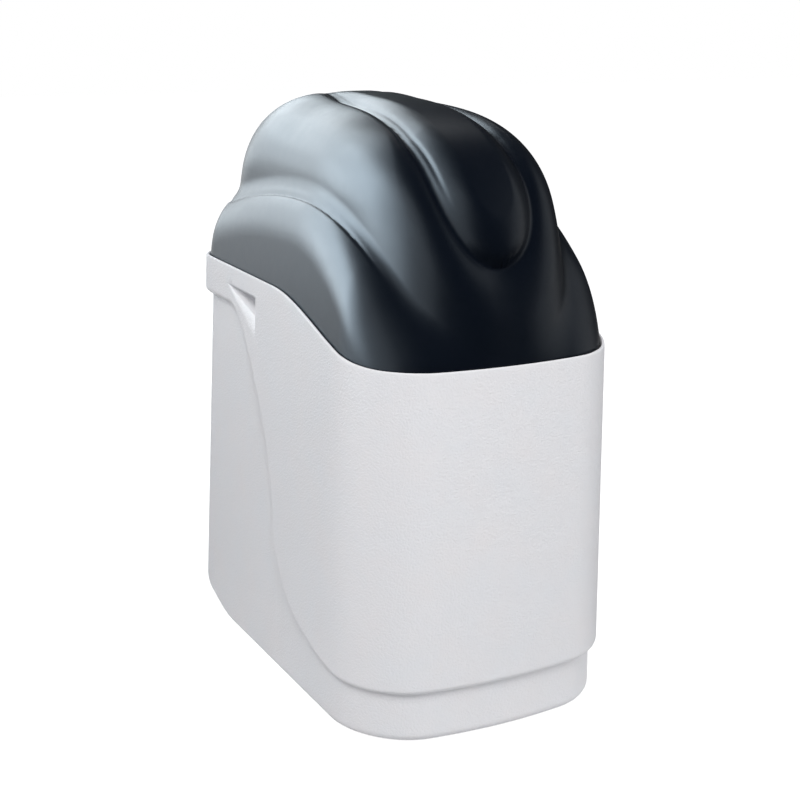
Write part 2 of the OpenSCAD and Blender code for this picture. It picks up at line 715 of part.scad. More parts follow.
// Spool with three lands
module piston() color("#d8c9a0") translate([0, piston_front, valve_z]) rotate([-90, 0, 0])
    rotate_extrude() polygon([[0, 0], [piston_r, 0], [piston_r, 11], [9, 14], [9, 16], [piston_r, 18],
        [piston_r, 27], [9, 30], [9, 32], [piston_r, 34], [piston_r, piston_l], [0, piston_l]]);

// Lead screw that draws the piston
module piston_rod() color("silver") y_rod(rod_r, rod_front, piston_front, 0, valve_z);

// Plug that closes the chamber and carries the main gear on its boss
module drive_cap() color("#3a3f45") difference() {
    union() {
        y_rod(chamber_r + 5, cap_front, bracket_front, 0, valve_z);
        y_rod(chamber_r - run, bracket_front - eps, bracket_back + 5, 0, valve_z);
        y_rod(cap_boss_r, cap_front - cap_boss_h, cap_front + eps, 0, valve_z);
    }
    y_rod(rod_r + run, cap_front - cap_boss_h - 1, bracket_back + 6, 0, valve_z);
}

// Flat outline with rounded corners
module rounded(w, h, r) {
    square([w - 2 * r, h], center = true);
    square([w, h - 2 * r], center = true);
    for (x = [-1, 1], y = [-1, 1]) translate([x * (w / 2 - r), y * (h / 2 - r)]) circle(r = r);
}
// A flat outline in X and Z, drawn out backwards from y0 to y1
module plate(y0, y1, x, z) translate([x, y1, z]) rotate([90, 0, 0]) linear_extrude(y1 - y0) children();

// Plate on the valve's front that carries the train, the motor and the cover
module drive_bracket() color("#555b61") difference() {
    union() {
        plate(bracket_front, bracket_back, cover_x, cover_z)
            rounded(cover_w - 2 * cover_t - 2 * run, cover_h - 2 * cover_t - 2 * run, 12);
        y_rod(axle_r, train_front - 3, bracket_back - 1, train_x, train_z);
        y_rod(axle_r + 4, main_back + 1, bracket_back - 1, train_x, train_z);
    }
    y_rod(chamber_r, bracket_front - 1, bracket_back + 1, 0, valve_z);
    y_rod(motor_r / 2, bracket_front - 1, bracket_back + 1, pinion_x, train_z);
}

// Outline of a spur gear with slim straight-sided teeth
module gear_outline(teeth, turn) {
    pitch_r = gear_module * teeth / 2;
    step = 360 / teeth;
    polygon([for (i = [0:teeth - 1], p = [[-0.27, -1.25], [-0.1, 0.8], [0.1, 0.8], [0.27, -1.25]])
        let (r = pitch_r + p[1] * gear_module, a = turn + (i + p[0]) * step)
        [r * cos(a), r * sin(a)]]);
}

// Large gear that turns on the cap's boss and drives the lead screw
module main_gear() color("white") difference() {
    union() {
        plate(main_front, main_back, 0, valve_z) gear_outline(main_teeth, train_angle);
        y_rod(cap_boss_r + 5, train_front - 4, main_front + eps, 0, valve_z);
    }
    y_rod(cap_boss_r + run, cap_front - cap_boss_h - run, main_back + 1, 0, valve_z);
    y_rod(rod_r + run, train_front - 5, main_back, 0, valve_z);
    for (a = [0:60:300]) translate([0, main_front + 4, valve_z]) rotate([0, a, 0])
        y_rod(6, -5, 5, (cap_boss_r + gear_module * main_teeth / 2) / 2 + 2, 0);
}

// Double gear on the bracket's axle
module reduction_gear() color("white") difference() {
    union() {
        plate(main_front + 0.5, main_back - 0.5, train_x, train_z)
            gear_outline(small_teeth, train_angle + 180 + 180 / small_teeth);
        plate(train_front, train_back, train_x, train_z) gear_outline(large_teeth, 0);
        y_rod(gear_module * small_teeth / 2 - 2, train_back - eps, main_front + 1, train_x, train_z);
    }
    y_rod(axle_r + run, train_front - 1, main_back + 1, train_x, train_z);
}

// Pinion on the motor's shaft
module motor_pinion() color("#c9a24a") difference() {
    plate(train_front, train_back + 2, pinion_x, train_z)
        gear_outline(pinion_teeth, 180 + 180 / pinion_teeth);
    y_rod(1.6, train_front + 2, train_back + 3, pinion_x, train_z);
}

// Motor behind the bracket, with its shaft
module drive_motor() color("#8d9299") {
    y_rod(motor_r, bracket_back, bracket_back + motor_l, pinion_x, train_z);
    y_rod(4, bracket_back + motor_l - eps, bracket_back + motor_l + 3, pinion_x, train_z);
    y_rod(5, bracket_front - 1, bracket_back + eps, pinion_x, train_z);
    y_rod(1.5, train_front + 3, bracket_front, pinion_x, train_z);
}

// Places of the four keys across the cover
function key_x(i) = cover_x + (i - 2.5) * key_gap;

// Open-backed cover over the train, with the display and key openings
module control_cover() color("#23262b") difference() {
    union() {
        difference() {
            plate(cover_front, cover_back + bracket_t, cover_x, cover_z) rounded(cover_w, cover_h, 14);
            plate(cover_front + cover_t, cover_back + bracket_t + 1, cover_x, cover_z)
                rounded(cover_w - 2 * cover_t, cover_h - 2 * cover_t, 14 - cover_t);
        }
        for (x = [-1, 1], z = [-1, 1])
            y_rod(4, cover_front + 1, board_front,
                cover_x + x * (board_w / 2 - post_inset), cover_z + z * (board_h / 2 - post_inset));
    }
    plate(cover_front - 1, cover_front + cover_t + 1, cover_x, window_z) rounded(window_w, window_h, 4);
    for (i = [1:4]) y_rod(key_r + run, cover_front - 1, cover_front + cover_t + 1, key_x(i), key_z);
    x_rod(socket_r + run, cover_x + cover_w / 2 - cover_t - 1, cover_x + cover_w / 2 + 1, socket_y, socket_z);
}

// Clear pane in the cover's front
module display_window() color("#7f9aa8") {
    plate(cover_front + 0.4, cover_front + cover_t, cover_x, window_z)
        rounded(window_w - 2 * run, window_h - 2 * run, 3.5);
    plate(cover_front + cover_t, cover_front + cover_t + 1.2, cover_x, window_z)
        rounded(window_w + 6, window_h + 6, 5);
}

// Board on the cover's posts, with the display and a few parts on it
module circuit_board() color("darkgreen") {
    plate(board_front, board_back, cover_x, cover_z) rounded(board_w, board_h, 3);
    plate(board_front - 3, board_front + eps, cover_x, window_z)
        square([window_w - 6, window_h - 4], center = true);
    for (i = [1:4]) plate(board_front - 0.5, board_front + eps, key_x(i), key_z) square(6, center = true);
    plate(board_back - eps, board_back + 3, cover_x + 46, cover_z - 20) square([14, 14], center = true);
    for (z = [-30, 30]) y_rod(4, board_back - eps, board_back + 6, cover_x - 50, cover_z + z);
}

// A key with a stem that reaches the board
module key(i) color("#4a5058") {
    y_rod(key_r, cover_front - 2.2, cover_front + cover_t + 0.6, key_x(i), key_z);
    y_rod(key_r + 1.5, cover_front + cover_t + 0.6 - eps, cover_front + cover_t + 1.6, key_x(i), key_z);
    y_rod(2, cover_front + cover_t + 1.5, key_foot, key_x(i), key_z);
}
module key_1() key(1);
module key_2() key(2);
module key_3() key(3);
module key_4() key(4);

// Low-voltage inlet in the cover's side
module power_socket() color("#101214") difference() {
    end = cover_x + cover_w / 2;
    union() {
        x_rod(socket_r, end - 16, end + 1.5, socket_y, socket_z);
        x_rod(socket_r + 2, end - cover_t - 2, end - cover_t - run, socket_y, socket_z);
    }
    x_rod(socket_bore, end - socket_depth, end + 2, socket_y, socket_z);
}

// Cap over the injector on the valve's top
module injector_cap() color("#2a2d31") {
    z_rod(18, boss_top, boss_top + 12, 0, injector_y);
    translate([0, injector_y, boss_top + 11]) linear_extrude(7) circle(r = 11, $fn = 6);
}

// Elbow on a boss of the valve's top, with its nozzle to the left or the right
module valve_elbow(y, side, l, barb) difference() {
    z = nozzle_z;
    union() {
        z_rod(elbow_r, boss_top, z + elbow_r, 0, y);
        translate([0, y, z]) rotate([0, side * 90, 0]) cylinder(r = barb ? 6.5 : 8, h = l);
        if (barb) for (d = [l - 5, l - 12, l - 19]) translate([0, y, z]) rotate([0, side * 90, 0])
            translate([0, 0, d]) cylinder(r1 = 8, r2 = 6.5, h = 5);
    }
    z_rod(4, boss_top - 1, z, 0, y);
    translate([0, y, z]) rotate([0, side * 90, 0]) translate([0, 0, -2]) cylinder(r = 4, h = l + 3);
}
module brine_elbow() color("#e8e8e4") valve_elbow(brine_y, -1, nozzle_l, false);
module drain_elbow() color("#2a2d31") valve_elbow(drain_y, 1, 58, true);

// A smooth curve through the points of a route
function through(p, i, t) =
    let (n = len(p) - 1)
    let (a = p[max(i - 1, 0)], b = p[i], c = p[min(i + 1, n)], d = p[min(i + 2, n)])
    0.5 * (2 * b + (c - a) * t + (2 * a - 5 * b + 4 * c - d) * t * t + (3 * b - a - 3 * c + d) * t * t * t);
function route_points(p, steps) = concat(
    [for (i = [0:len(p) - 2], k = [0:steps - 1]) through(p, i, k / steps)], [p[len(p) - 1]]);

// Solid round tube along a route, its rings kept square to the path
module tube_along(path, r, sides) {
    n = len(path);
    dirs = [for (i = [0:n - 1])
        i == 0 ? [-1, 0, 0] : i == n - 1 ? [0, -1, 0] :
        let (d = path[i + 1] - path[i - 1]) d / norm(d)];
    points = [for (i = [0:n - 1], k = [0:sides - 1])
        let (d = dirs[i], u0 = cross(d, [0.3, -0.3, 1]), u = u0 / norm(u0), v = cross(d, u))
        path[i] + r * (u * cos(k * 360 / sides) + v * sin(k * 360 / sides))];
    polyhedron(points, [for (f = ring_faces(n, sides)) [for (i = [len(f) - 1:-1:0]) f[i]]]);
}
module brine_tube() color("#dfe6ea") tube_along(route_points(tube_route, tube_steps), tube_r, tube_sides);

// Turbine in the outlet port, with pitched blades
module meter_turbine() color("#f2f2ee") difference() {
    middle = turbine_y + turbine_l / 2;
    hub_r = spindle_r + 2.5;
    blade = [port_bore - hub_r - 0.4, turbine_l - 4, 1.6];
    union() {
        y_rod(hub_r, turbine_y, turbine_y + turbine_l, -port_x, valve_z);
        for (a = [0:60:300]) translate([-port_x, middle, valve_z]) rotate([0, a, 0])
            translate([hub_r - 1, 0, 0]) rotate([blade_pitch, 0, 0])
                translate([0, -blade.y / 2, -blade.z / 2]) cube(blade);
    }
    y_rod(spindle_r + run, turbine_y - 1, turbine_y + turbine_l + 1, -port_x, valve_z);
}

// Bypass block: two upright housings, the bridge between them and four pipe ends
module bypass_body() color("#2a2d31") difference() {
    union() {
        for (s = [-1, 1]) {
            z_rod(housing_r, valve_z - housing_h / 2, valve_z + housing_h / 2, s * port_x, bypass_y);
            y_rod(port_r, port_end, bypass_end, s * port_x, valve_z);
            y_rod(port_r + 2, port_end + nut_l / 2, port_end + nut_l / 2 + 3, s * port_x, valve_z);
            y_rod(port_r + 2, bypass_end - nut_l / 2 - 3, bypass_end - nut_l / 2, s * port_x, valve_z);
        }
        x_rod(13, -port_x, port_x, bypass_y, valve_z);
    }
    for (s = [-1, 1]) {
        z_rod(rotor_r + run, valve_z - housing_h / 2 + 3, valve_z + housing_h, s * port_x, bypass_y);
        y_rod(port_bore, port_end - 1, bypass_end + 1, s * port_x, valve_z);
    }
    x_rod(9, -port_x, port_x, bypass_y, valve_z);
}

// Rotor of the bypass, bored through, with a lever on top
module rotor(side) color("#b3262b") difference() {
    x = side * port_x;
    top = valve_z + housing_h / 2;
    union() {
        z_rod(rotor_r, valve_z - housing_h / 2 + 3 + run, top + 1, x, bypass_y);
        z_rod(housing_r - 1, top + run, top + 5, x, bypass_y);
        translate([x, bypass_y, top + 4]) linear_extrude(12) {
            square([12, 36], center = true);
            for (s = [-1, 1]) translate([0, s * 18]) circle(r = 6);
        }
    }
    y_rod(port_bore - 1, bypass_y - rotor_r - 1, bypass_y + rotor_r + 1, x, valve_z);
}
module inlet_rotor() rotor(1);
module outlet_rotor() rotor(-1);

// Ribbed union nut over a face joint between two pipe ends
module union_nut(x, y, bore) color("#3a3f45") difference() {
    union() {
        y_rod(nut_r - 1.5, y - nut_l / 2, y + nut_l / 2, x, valve_z);
        for (a = [0:30:330]) translate([x, y, valve_z]) rotate([0, a, 0])
            translate([nut_r - 4, -nut_l / 2, -2]) cube([4, nut_l, 4]);
    }
    y_rod(bore + run, y - nut_l / 2 - 1, y + nut_l / 2 + 1, x, valve_z);
}
module inlet_nut() union_nut(port_x, port_end, port_r);
module outlet_nut() union_nut(-port_x, port_end, port_r);
module inlet_tail_nut() union_nut(port_x, bypass_end, port_r);
module outlet_tail_nut() union_nut(-port_x, bypass_end, port_r);

// Pipe tail that the house plumbing joins
module tail(x) color("#d9b08c") difference() {
    union() {
        y_rod(port_r, bypass_end, bypass_end + 5, x, valve_z);
        y_rod(tail_r, bypass_end, bypass_end + tail_l, x, valve_z);
    }
    y_rod(tail_bore, bypass_end - 1, bypass_end + tail_l + 1, x, valve_z);
}
module inlet_tail() tail(port_x);
module outlet_tail() tail(-port_x);

// Brine well tube with slots at its foot and a hole for the brine tube
module brine_well() color("#e9ebec") difference() {
    z_rod(well_r, floor_t, well_top, well_x, well_y);
    z_rod(well_r - well_wall, floor_t - 1, well_top + 1, well_x, well_y);
    for (a = [0:45:135]) translate([well_x, well_y, floor_t + slot_z]) rotate(a)
        translate([-well_r - 1, -slot_w / 2, 0]) cube([2 * well_r + 2, slot_w, slot_h]);
    y_rod(tube_r + 1.5, well_y, well_y + well_r + 1, well_x, tube_end.z + 1);
}

// Lid of the brine well, with a plug and a finger ridge
module brine_well_cap() color("#2a2d31") {
    z_rod(cap_r, well_top, well_top + 4, well_x, well_y);
    difference() {
        z_rod(well_r - well_wall - run, well_top - 9, well_top + 1, well_x, well_y);
        z_rod(well_r - well_wall - run - 2.5, well_top - 10, well_top, well_x, well_y);
    }
    translate([well_x, well_y, well_top + 3]) linear_extrude(9) square([50, 7], center = true);
}

// Safety valve with its riser, the elbow that takes the brine tube, and the guides of the float rod
module safety_valve() color("#f0f0ec") difference() {
    union() {
        z_rod(safety_r, safety_foot, safety_foot + safety_h, well_x, well_y);
        z_rod(safety_pipe_r, safety_foot, safety_top + 12, well_x, well_y);
        z_rod(safety_pipe_r + 3, safety_top - 10, safety_top + 14, well_x, well_y);
        y_rod(8, well_y, tube_end.y, well_x, tube_end.z);
        for (z = [safety_foot + safety_h - 6, guide_z]) translate([well_x, well_y - 5, z])
            cube([float_x - well_x + 6, 10, 6]);
    }
    z_rod(float_rod_r + run, 0, well_top, float_x, well_y);
}

// Slotted foot of the safety valve
module air_check() color("#c7cdd2") difference() {
    z_rod(safety_r - 3, floor_t, safety_foot, well_x, well_y);
    for (a = [0:60:120]) translate([well_x, well_y, floor_t + 2]) rotate(a)
        translate([-safety_r, -1.5, 0]) cube([2 * safety_r, 3, 6]);
}

// Rod with the two grommets that hold the float
module float_rod() color("silver") {
    z_rod(float_rod_r, safety_foot + safety_h - rod_below, guide_z + rod_above, float_x, well_y);
    for (z = [float_foot - 6, float_foot + float_h]) z_rod(6, z, z + 6, float_x, well_y);
}

// Float on the rod
module brine_float() color("#f4f4f2") difference() {
    translate([float_x, well_y, float_foot]) rotate_extrude() polygon([[0, 0], [float_r - 4, 0], [float_r, 4],
        [float_r, float_h - 4], [float_r - 4, float_h], [0, float_h]]);
    z_rod(float_rod_r, float_foot - 1, float_foot + float_h + 1, float_x, well_y);
}

// Overflow elbow: flange, shank through the wall and a barbed end that points down
module overflow_elbow() color("#e8e8e4") difference() {
    flange = seat_out + gasket_t;
    y = flange + 13;
    union() {
        y_rod(overflow_r, seat_in - 16, y, overflow_x, overflow_z);
        y_rod(overflow_r + overflow_grip, flange, flange + 4, overflow_x, overflow_z);
        translate([overflow_x, y, overflow_z]) sphere(r = overflow_r + 0.8);
        z_rod(overflow_r - 2, overflow_z - 36, overflow_z, overflow_x, y);
        for (z = [overflow_z - 36, overflow_z - 29, overflow_z - 22]) translate([overflow_x, y, z])
            cylinder(r1 = overflow_r - 2, r2 = overflow_r - 0.5, h = 5);
    }
    y_rod(overflow_r - 4, seat_in - 17, y + 1, overflow_x, overflow_z);
    z_rod(overflow_r - 4.5, overflow_z - 37, overflow_z + 1, overflow_x, y);
}
module overflow_gasket() color("#1a1a1a") difference() {
    y_rod(overflow_r + overflow_grip, seat_out, seat_out + gasket_t, overflow_x, overflow_z);
    y_rod(overflow_r + run, seat_out - 1, seat_out + gasket_t + 1, overflow_x, overflow_z);
}
module overflow_nut() color("#e8e8e4") difference() {
    translate([overflow_x, seat_in, overflow_z]) rotate([90, 0, 0])
        cylinder(r = overflow_r + overflow_grip + 1, h = 9, $fn = 6);
    y_rod(overflow_r + run, seat_in - 10, seat_in + 1, overflow_x, overflow_z);
}

cabinet();
hood();
vessel_boot();
pressure_vessel();
resin_bed();
riser_tube();
lower_strainer();
upper_strainer();
valve_body();
neck_seal();
seal_stack();
piston();
piston_rod();
drive_cap();
drive_bracket();
main_gear();
reduction_gear();
motor_pinion();
drive_motor();
control_cover();
display_window();
circuit_board();
key_1();
key_2();
key_3();
key_4();
power_socket();
injector_cap();
brine_elbow();
drain_elbow();
brine_tube();
meter_turbine();
bypass_body();
inlet_rotor();
outlet_rotor();
inlet_nut();
outlet_nut();
inlet_tail_nut();
outlet_tail_nut();
inlet_tail();
outlet_tail();
brine_well();
brine_well_cap();
safety_valve();
air_check();
float_rod();
brine_float();
overflow_elbow();
overflow_gasket();
overflow_nut();
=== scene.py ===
import json
import math

import bmesh
import bpy
import numpy as np
from mathutils import Matrix, Vector


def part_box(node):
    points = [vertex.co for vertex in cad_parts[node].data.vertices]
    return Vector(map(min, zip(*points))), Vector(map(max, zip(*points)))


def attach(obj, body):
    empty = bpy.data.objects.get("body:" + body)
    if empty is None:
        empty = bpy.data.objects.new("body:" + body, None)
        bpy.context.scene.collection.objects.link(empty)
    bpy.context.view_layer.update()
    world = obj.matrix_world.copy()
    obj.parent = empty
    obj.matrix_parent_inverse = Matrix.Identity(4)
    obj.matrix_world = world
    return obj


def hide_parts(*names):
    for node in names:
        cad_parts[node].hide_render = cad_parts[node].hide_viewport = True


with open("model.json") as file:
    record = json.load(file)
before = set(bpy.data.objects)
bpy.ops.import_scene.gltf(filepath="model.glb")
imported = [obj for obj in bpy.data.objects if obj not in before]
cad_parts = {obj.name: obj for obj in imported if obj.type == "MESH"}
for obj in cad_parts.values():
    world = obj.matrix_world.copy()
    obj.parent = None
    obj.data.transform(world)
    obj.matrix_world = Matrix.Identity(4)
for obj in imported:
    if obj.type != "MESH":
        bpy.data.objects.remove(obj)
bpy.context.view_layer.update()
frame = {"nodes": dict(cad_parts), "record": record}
scene = bpy.context.scene


# Camera at the photograph's angle
cameraView = {
    "yaw": -28.5,           # degrees, negative to the left of the front
    "pitch": 16.3,
    "roll": 1.3,
    "target": (-.00014, 0, .3147),
    "distance": 1.8634,
    "focalPixels": 1550.4,  # focal length in pixels of the frame
    "framePixels": 800,
    "sensor": 36,
}


def placeCamera(s):
    yaw, pitch, roll = (math.radians(s[k]) for k in ("yaw", "pitch", "roll"))
    back = Vector((math.sin(yaw) * math.cos(pitch), -math.cos(yaw) * math.cos(pitch), math.sin(pitch)))
    level = Vector((math.cos(yaw), math.sin(yaw), 0))
    upright = back.cross(level)
    across = math.cos(roll) * level + math.sin(roll) * upright
    upward = math.cos(roll) * upright - math.sin(roll) * level
    lens = bpy.data.cameras.new("photoCamera")
    lens.sensor_width = s["sensor"]
    lens.lens = s["sensor"] * s["focalPixels"] / s["framePixels"]
    camera = bpy.data.objects.new("photoCamera", lens)
    scene.collection.objects.link(camera)
    place = Matrix((across, upward, back)).transposed().to_4x4()
    place.translation = Vector(s["target"]) + s["distance"] * back
    camera.matrix_world = place
    scene.camera = camera


placeCamera(cameraView)
print("camera placed")


# Node trees: a wire is an output socket that takes part in Python maths
class Wire:
    def __init__(self, kit, socket):
        self.kit = kit
        self.socket = socket

    def math(self, operation, other, swapped=False):
        pair = (other, self) if swapped else (self, other)
        return self.kit.node("ShaderNodeMath", {"operation": operation}, dict(enumerate(pair)))

    def __add__(self, other):
        return self.math("ADD", other)

    def __radd__(self, other):
        return self.math("ADD", other, True)

    def __sub__(self, other):
        return self.math("SUBTRACT", other)

    def __rsub__(self, other):
        return self.math("SUBTRACT", other, True)

    def __mul__(self, other):
        return self.math("MULTIPLY", other)

    def __rmul__(self, other):
        return self.math("MULTIPLY", other, True)


class NodeKit:
    def __init__(self, tree):
        self.tree = tree

    # One node: its settings are set first, then the values or links of its sockets
    def node(self, kind, settings=None, inputs=None, output=0):
        made = self.tree.nodes.new(kind)
        for key, value in (settings or {}).items():
            setattr(made, key, value)
        for key, value in (inputs or {}).items():
            self.feed(made.inputs[key], value)
        return Wire(self, made.outputs[output])

    def feed(self, socket, value):
        if isinstance(value, Wire):
            self.tree.links.new(value.socket, socket)
        elif socket.type == "RGBA" and len(value) == 3:
            socket.default_value = (*value, 1)
        else:
            socket.default_value = value


def scaled(colour, share):
    return tuple(min(c * share, 1) for c in colour)


class Finish(NodeKit):
    def __init__(self, name):
        self.material = bpy.data.materials.new(name)
        self.material.use_nodes = True
        super().__init__(self.material.node_tree)
        self.shader = self.tree.nodes["Principled BSDF"]
        self.place = self.node("ShaderNodeTexCoord", output="Object")

    def set(self, **values):
        for key, value in values.items():
            self.feed(self.shader.inputs[key.replace("_", " ")], value)
        return self

    # The surface's place with each axis drawn out or shrunk
    def stretch(self, *share):
        return self.node("ShaderNodeVectorMath", {"operation": "MULTIPLY"}, {0: self.place, 1: share})

    def axis(self, name):
        return self.node("ShaderNodeSeparateXYZ", None, {0: self.place}, output=name)

    def cells(self, scale):
        return self.node("ShaderNodeTexVoronoi", None, {"Vector": self.place, "Scale": scale},
                         output="Distance")

    def noise(self, scale, detail=2, roughness=.5, place=None):
        return self.node("ShaderNodeTexNoise", None, {
            "Vector": place or self.place, "Scale": scale, "Detail": detail, "Roughness": roughness})

    # The Mix node has its colours at sockets 6 and 7 and at output 2
    def mix(self, share, low, high):
        return self.node("ShaderNodeMix", {"data_type": "RGBA"}, {0: share, 6: low, 7: high}, output=2)

    # Two shades of one colour, mixed by a pattern
    def shades(self, pattern, colour, dull, bright):
        return self.mix(pattern, scaled(colour, dull), scaled(colour, bright))

    def bump(self, height, depth):
        normal = self.node("ShaderNodeBump", None, {"Height": height, "Distance": depth, "Strength": 1})
        return self.set(Normal=normal)


# Moulded plastic: cloudy colour, uneven gloss and a fine grain in the skin
def mouldedPlastic(name, colour, roughness, grain=900, depth=.00008, cloud=9, finer=6, uneven=.06,
                   gloss=.08):
    f = Finish(name)
    clouds = f.noise(cloud, 3)
    skin = f.noise(grain, 2)
    f.set(Base_Color=f.shades(clouds, colour, 1 - uneven, 1 + uneven),
          Roughness=roughness - gloss / 2 + gloss * f.noise(cloud * finer, 3))
    return f.bump(skin, depth)


# Blow-moulded cabinet skin: orange peel in two sizes and faint warm and cool blotches
cabinetSkin = {
    "cool": (.785, .805, .835), "warm": (.825, .800, .805), "blotch": 16,
    "roughness": .50, "gloss": .1, "shine": .15,
    "peel": 430, "peelDepth": .0006, "patchShare": .25, "pores": 1500, "poreShare": .35,
}


def makeCabinetSkin(s):
    f = Finish("cabinetWhite")
    peel = f.noise(s["peel"], 2, .45)
    patches = f.noise(s["peel"] * s["patchShare"], 3)
    f.set(Base_Color=f.mix(f.noise(s["blotch"], 3, .6), s["cool"], s["warm"]),
          Roughness=s["roughness"] - s["gloss"] / 2 + s["gloss"] * patches,
          Specular_IOR_Level=s["shine"])
    return f.bump(peel + s["poreShare"] * f.noise(s["pores"], 2), s["peelDepth"])


hoodLook = {"colour": (.0026, .0043, .0085), "roughness": .36, "grain": 1500, "depth": .00004, "cloud": 14,
            "uneven": .1}
hoodTint = (.80, .91, 1)
cabinetFinish = makeCabinetSkin(cabinetSkin)
hoodFinish = mouldedPlastic("hoodBlack", **hoodLook)
hoodFinish.set(Specular_Tint=hoodTint)
print("main finishes made")


# Cabinet, whose plan outline the hood follows too (metres)
cabinetForm = {
    "halfWidth": .163, "halfDepth": .251,
    "frontBow": .022, "frontCorner": .075, "rearCorner": .043,
    "rimFront": .419, "rimRear": .465, "rimLowY": -.217, "rimHighY": .015,
    "draft": .0099, "wall": .004, "floor": .005,
    "baseRound": .010, "rearRound": .032, "rearRoundY": .135,
    "panelStep": .0073, "frontEdge": .007, "stepPower": 1.9, "sideRamp": .045, "rampPower": 3,
    "sideLip": .0035, "lipShare": .18, "lipPower": 1.5,
    "crispY": -.165, "crispRun": .110, "bandY": .132, "bandRun": .050,
    "rimLip": .0028, "rimRound": .0015, "rebate": .011, "ledgeInset": .0097, "ledgeThick": .003,
    "pocketY": .059, "pocketDrop": .022, "pocketDepth": .020, "pocketLength": .088, "pocketHeight": .051,
    "pocketLip": .0006, "pocketLeast": .02, "pocketRoof": .002, "housingRoof": .0014,
    # edge of the raised panel on the side, as two curves in depth and height
    "edgeUpper": ((.140, .421), (.095, .421), (.008, .285), (-.004, .195)),
    "edgeLower": ((-.004, .195), (-.010, .110), (-.090, .063), (-.217, .063)),
    "curvePoints": 160, "steepest": 14, "evenReach": 40,
    # distances from that edge at which its rounding is drawn, and how much of the room they may take
    "edgeBelow": (.045, .034, .025, .018, .013, .009, .0065, .005,
                  .0042, .0037, .0034, .003, .0024, .0016, .0008, 0),
    "edgeAbove": (.0008, .0016, .0025, .0035, .005),
    "belowShare": .94, "aboveShare": .9, "leastAbove": .001,
    # rows between two levels, as shares of the height between them
    "footRows": (.3, .65), "panelRows": (.15, .3, .45, .6, .75, .88, 1), "topRows": (.3, .65),
    "innerRows": (.6, .2), "innerFoot": .3,
    # finger pocket as shares of height and depth: a slope and then a hollow under the ceiling, from the
    # foot up, then the ceiling's lip, and the pocket's back inside the cabinet from the top down
    "pocketRows": ((.06, .01), (.12, .03), (.20, .07), (.29, .14), (.37, .22), (.42, .31), (.46, .8),
                   (.50, 1.4), (.56, 1.68), (.70, 1.7), (.85, 1.7), (1, 1.7)),
    "lipRows": ((-.3, 1.5), (.3, .1), (1, 0)),
    "housingRows": ((1, 1.75), (.52, 1.75), (.42, 1.1), (.26, .5), (0, 0)),
    # columns round the outline, and the gaps that keep them apart
    "frontArc": 25, "rearArc": 17, "frontColumns": 24, "rearColumns": 20, "bandColumns": 14,
    "everyNth": 3, "lipColumns": (-1, -.4, .4, 1),
    "arcGap": .002, "edgeStop": .1395, "bandStart": .142, "rearGap": .003, "sideGap": .001,
    "rayLength": .4,
}


def smoothStep(t):
    t = np.clip(t, 0, 1)
    return t * t * (3 - 2 * t)


def smoothMax(a, b, width):
    h = np.maximum(width - np.abs(a - b), 0) / width
    return np.maximum(a, b) + h * h * width / 4


def smoothMin(a, b, width):
    return -smoothMax(-a, -b, width)


def planDistance(x, y, inset):
    c = cabinetForm
    corner = np.where(y < 0, c["frontCorner"], c["rearCorner"])
    bow = np.where(y < 0, c["frontBow"] * (x / c["halfWidth"]) ** 2, 0)
    qx = np.abs(x) - (c["halfWidth"] - inset) + corner
    qy = np.abs(y) - (c["halfDepth"] - inset) + bow + corner
    return np.hypot(np.maximum(qx, 0), np.maximum(qy, 0)) + np.minimum(np.maximum(qx, qy), 0) - corner


def rimHeight(y):
    c = cabinetForm
    t = (y - c["rimLowY"]) / (c["rimHighY"] - c["rimLowY"])
    return c["rimFront"] + (c["rimRear"] - c["rimFront"]) * smoothStep(t)


# The walls draw in as they rise: their inset is below zero at the foot and zero at the front rim's height
def draftAt(z):
    return -cabinetForm["draft"] * (1 - z / cabinetForm["rimFront"])


# How far along its ray each point leaves a form, found by halving
def leaveAt(outside, shape, far, halvings=36):
    near, far = np.zeros(shape), np.full(shape, far)
    for _ in range(halvings):
        middle = (near + far) / 2
        out = outside(middle)
        near, far = np.where(out, near, middle), np.where(out, middle, far)
    return near


# Corner arcs of the left half, from the front round to the back
def cornerArc(front, angles):
    c = cabinetForm
    r = c["frontCorner"] if front else c["rearCorner"]
    x = -(c["halfWidth"] - r)
    y = c["halfDepth"] - r
    if front:
        y = -y + c["frontBow"] * (1 - r / c["halfWidth"]) ** 2
    return np.stack([x - r * np.sin(angles), y - r * np.cos(angles)], 1)


def mirrored(half):
    return np.concatenate([half, half[-2:0:-1] * [-1, 1]])


def straight(start, end, count):
    return np.linspace(start, end, count + 1)[1:]


def makePiece(name, points, faces, finish, body, slot, *nodes, sharp=35, weld=1e-7):
    mesh = bpy.data.meshes.new(name)
    mesh.from_pydata(points.tolist(), [], faces)
    work = bmesh.new()
    work.from_mesh(mesh)
    bmesh.ops.remove_doubles(work, verts=work.verts, dist=weld)
    bmesh.ops.recalc_face_normals(work, faces=work.faces)
    work.to_mesh(mesh)
    work.free()
    mesh.shade_smooth()
    mesh.set_sharp_from_angle(angle=math.radians(sharp))
    mesh.materials.append(finish.material)
    piece = bpy.data.objects.new(name, mesh)
    scene.collection.objects.link(piece)
    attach(piece, body)
    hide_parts(*nodes)


# A point on a curve that four points steer
def steered(t, points):
    weights = ((1 - t) ** 3, 3 * t * (1 - t) ** 2, 3 * t * t * (1 - t), t ** 3)
    return sum(w * np.array(p) for w, p in zip(weights, points))


# The panel's edge from its front end to its rear end
def makePanelCurve(c):
    shares = np.linspace(0, 1, c["curvePoints"])
    both = [[steered(t, c[edge]) for t in shares] for edge in ("edgeUpper", "edgeLower")]
    return np.delete(np.concatenate(both)[::-1], c["curvePoints"], 0)  # the two curves share a point


panelCurve = makePanelCurve(cabinetForm)


def panelHeight(y):
    return np.interp(y, panelCurve[:, 0], panelCurve[:, 1])


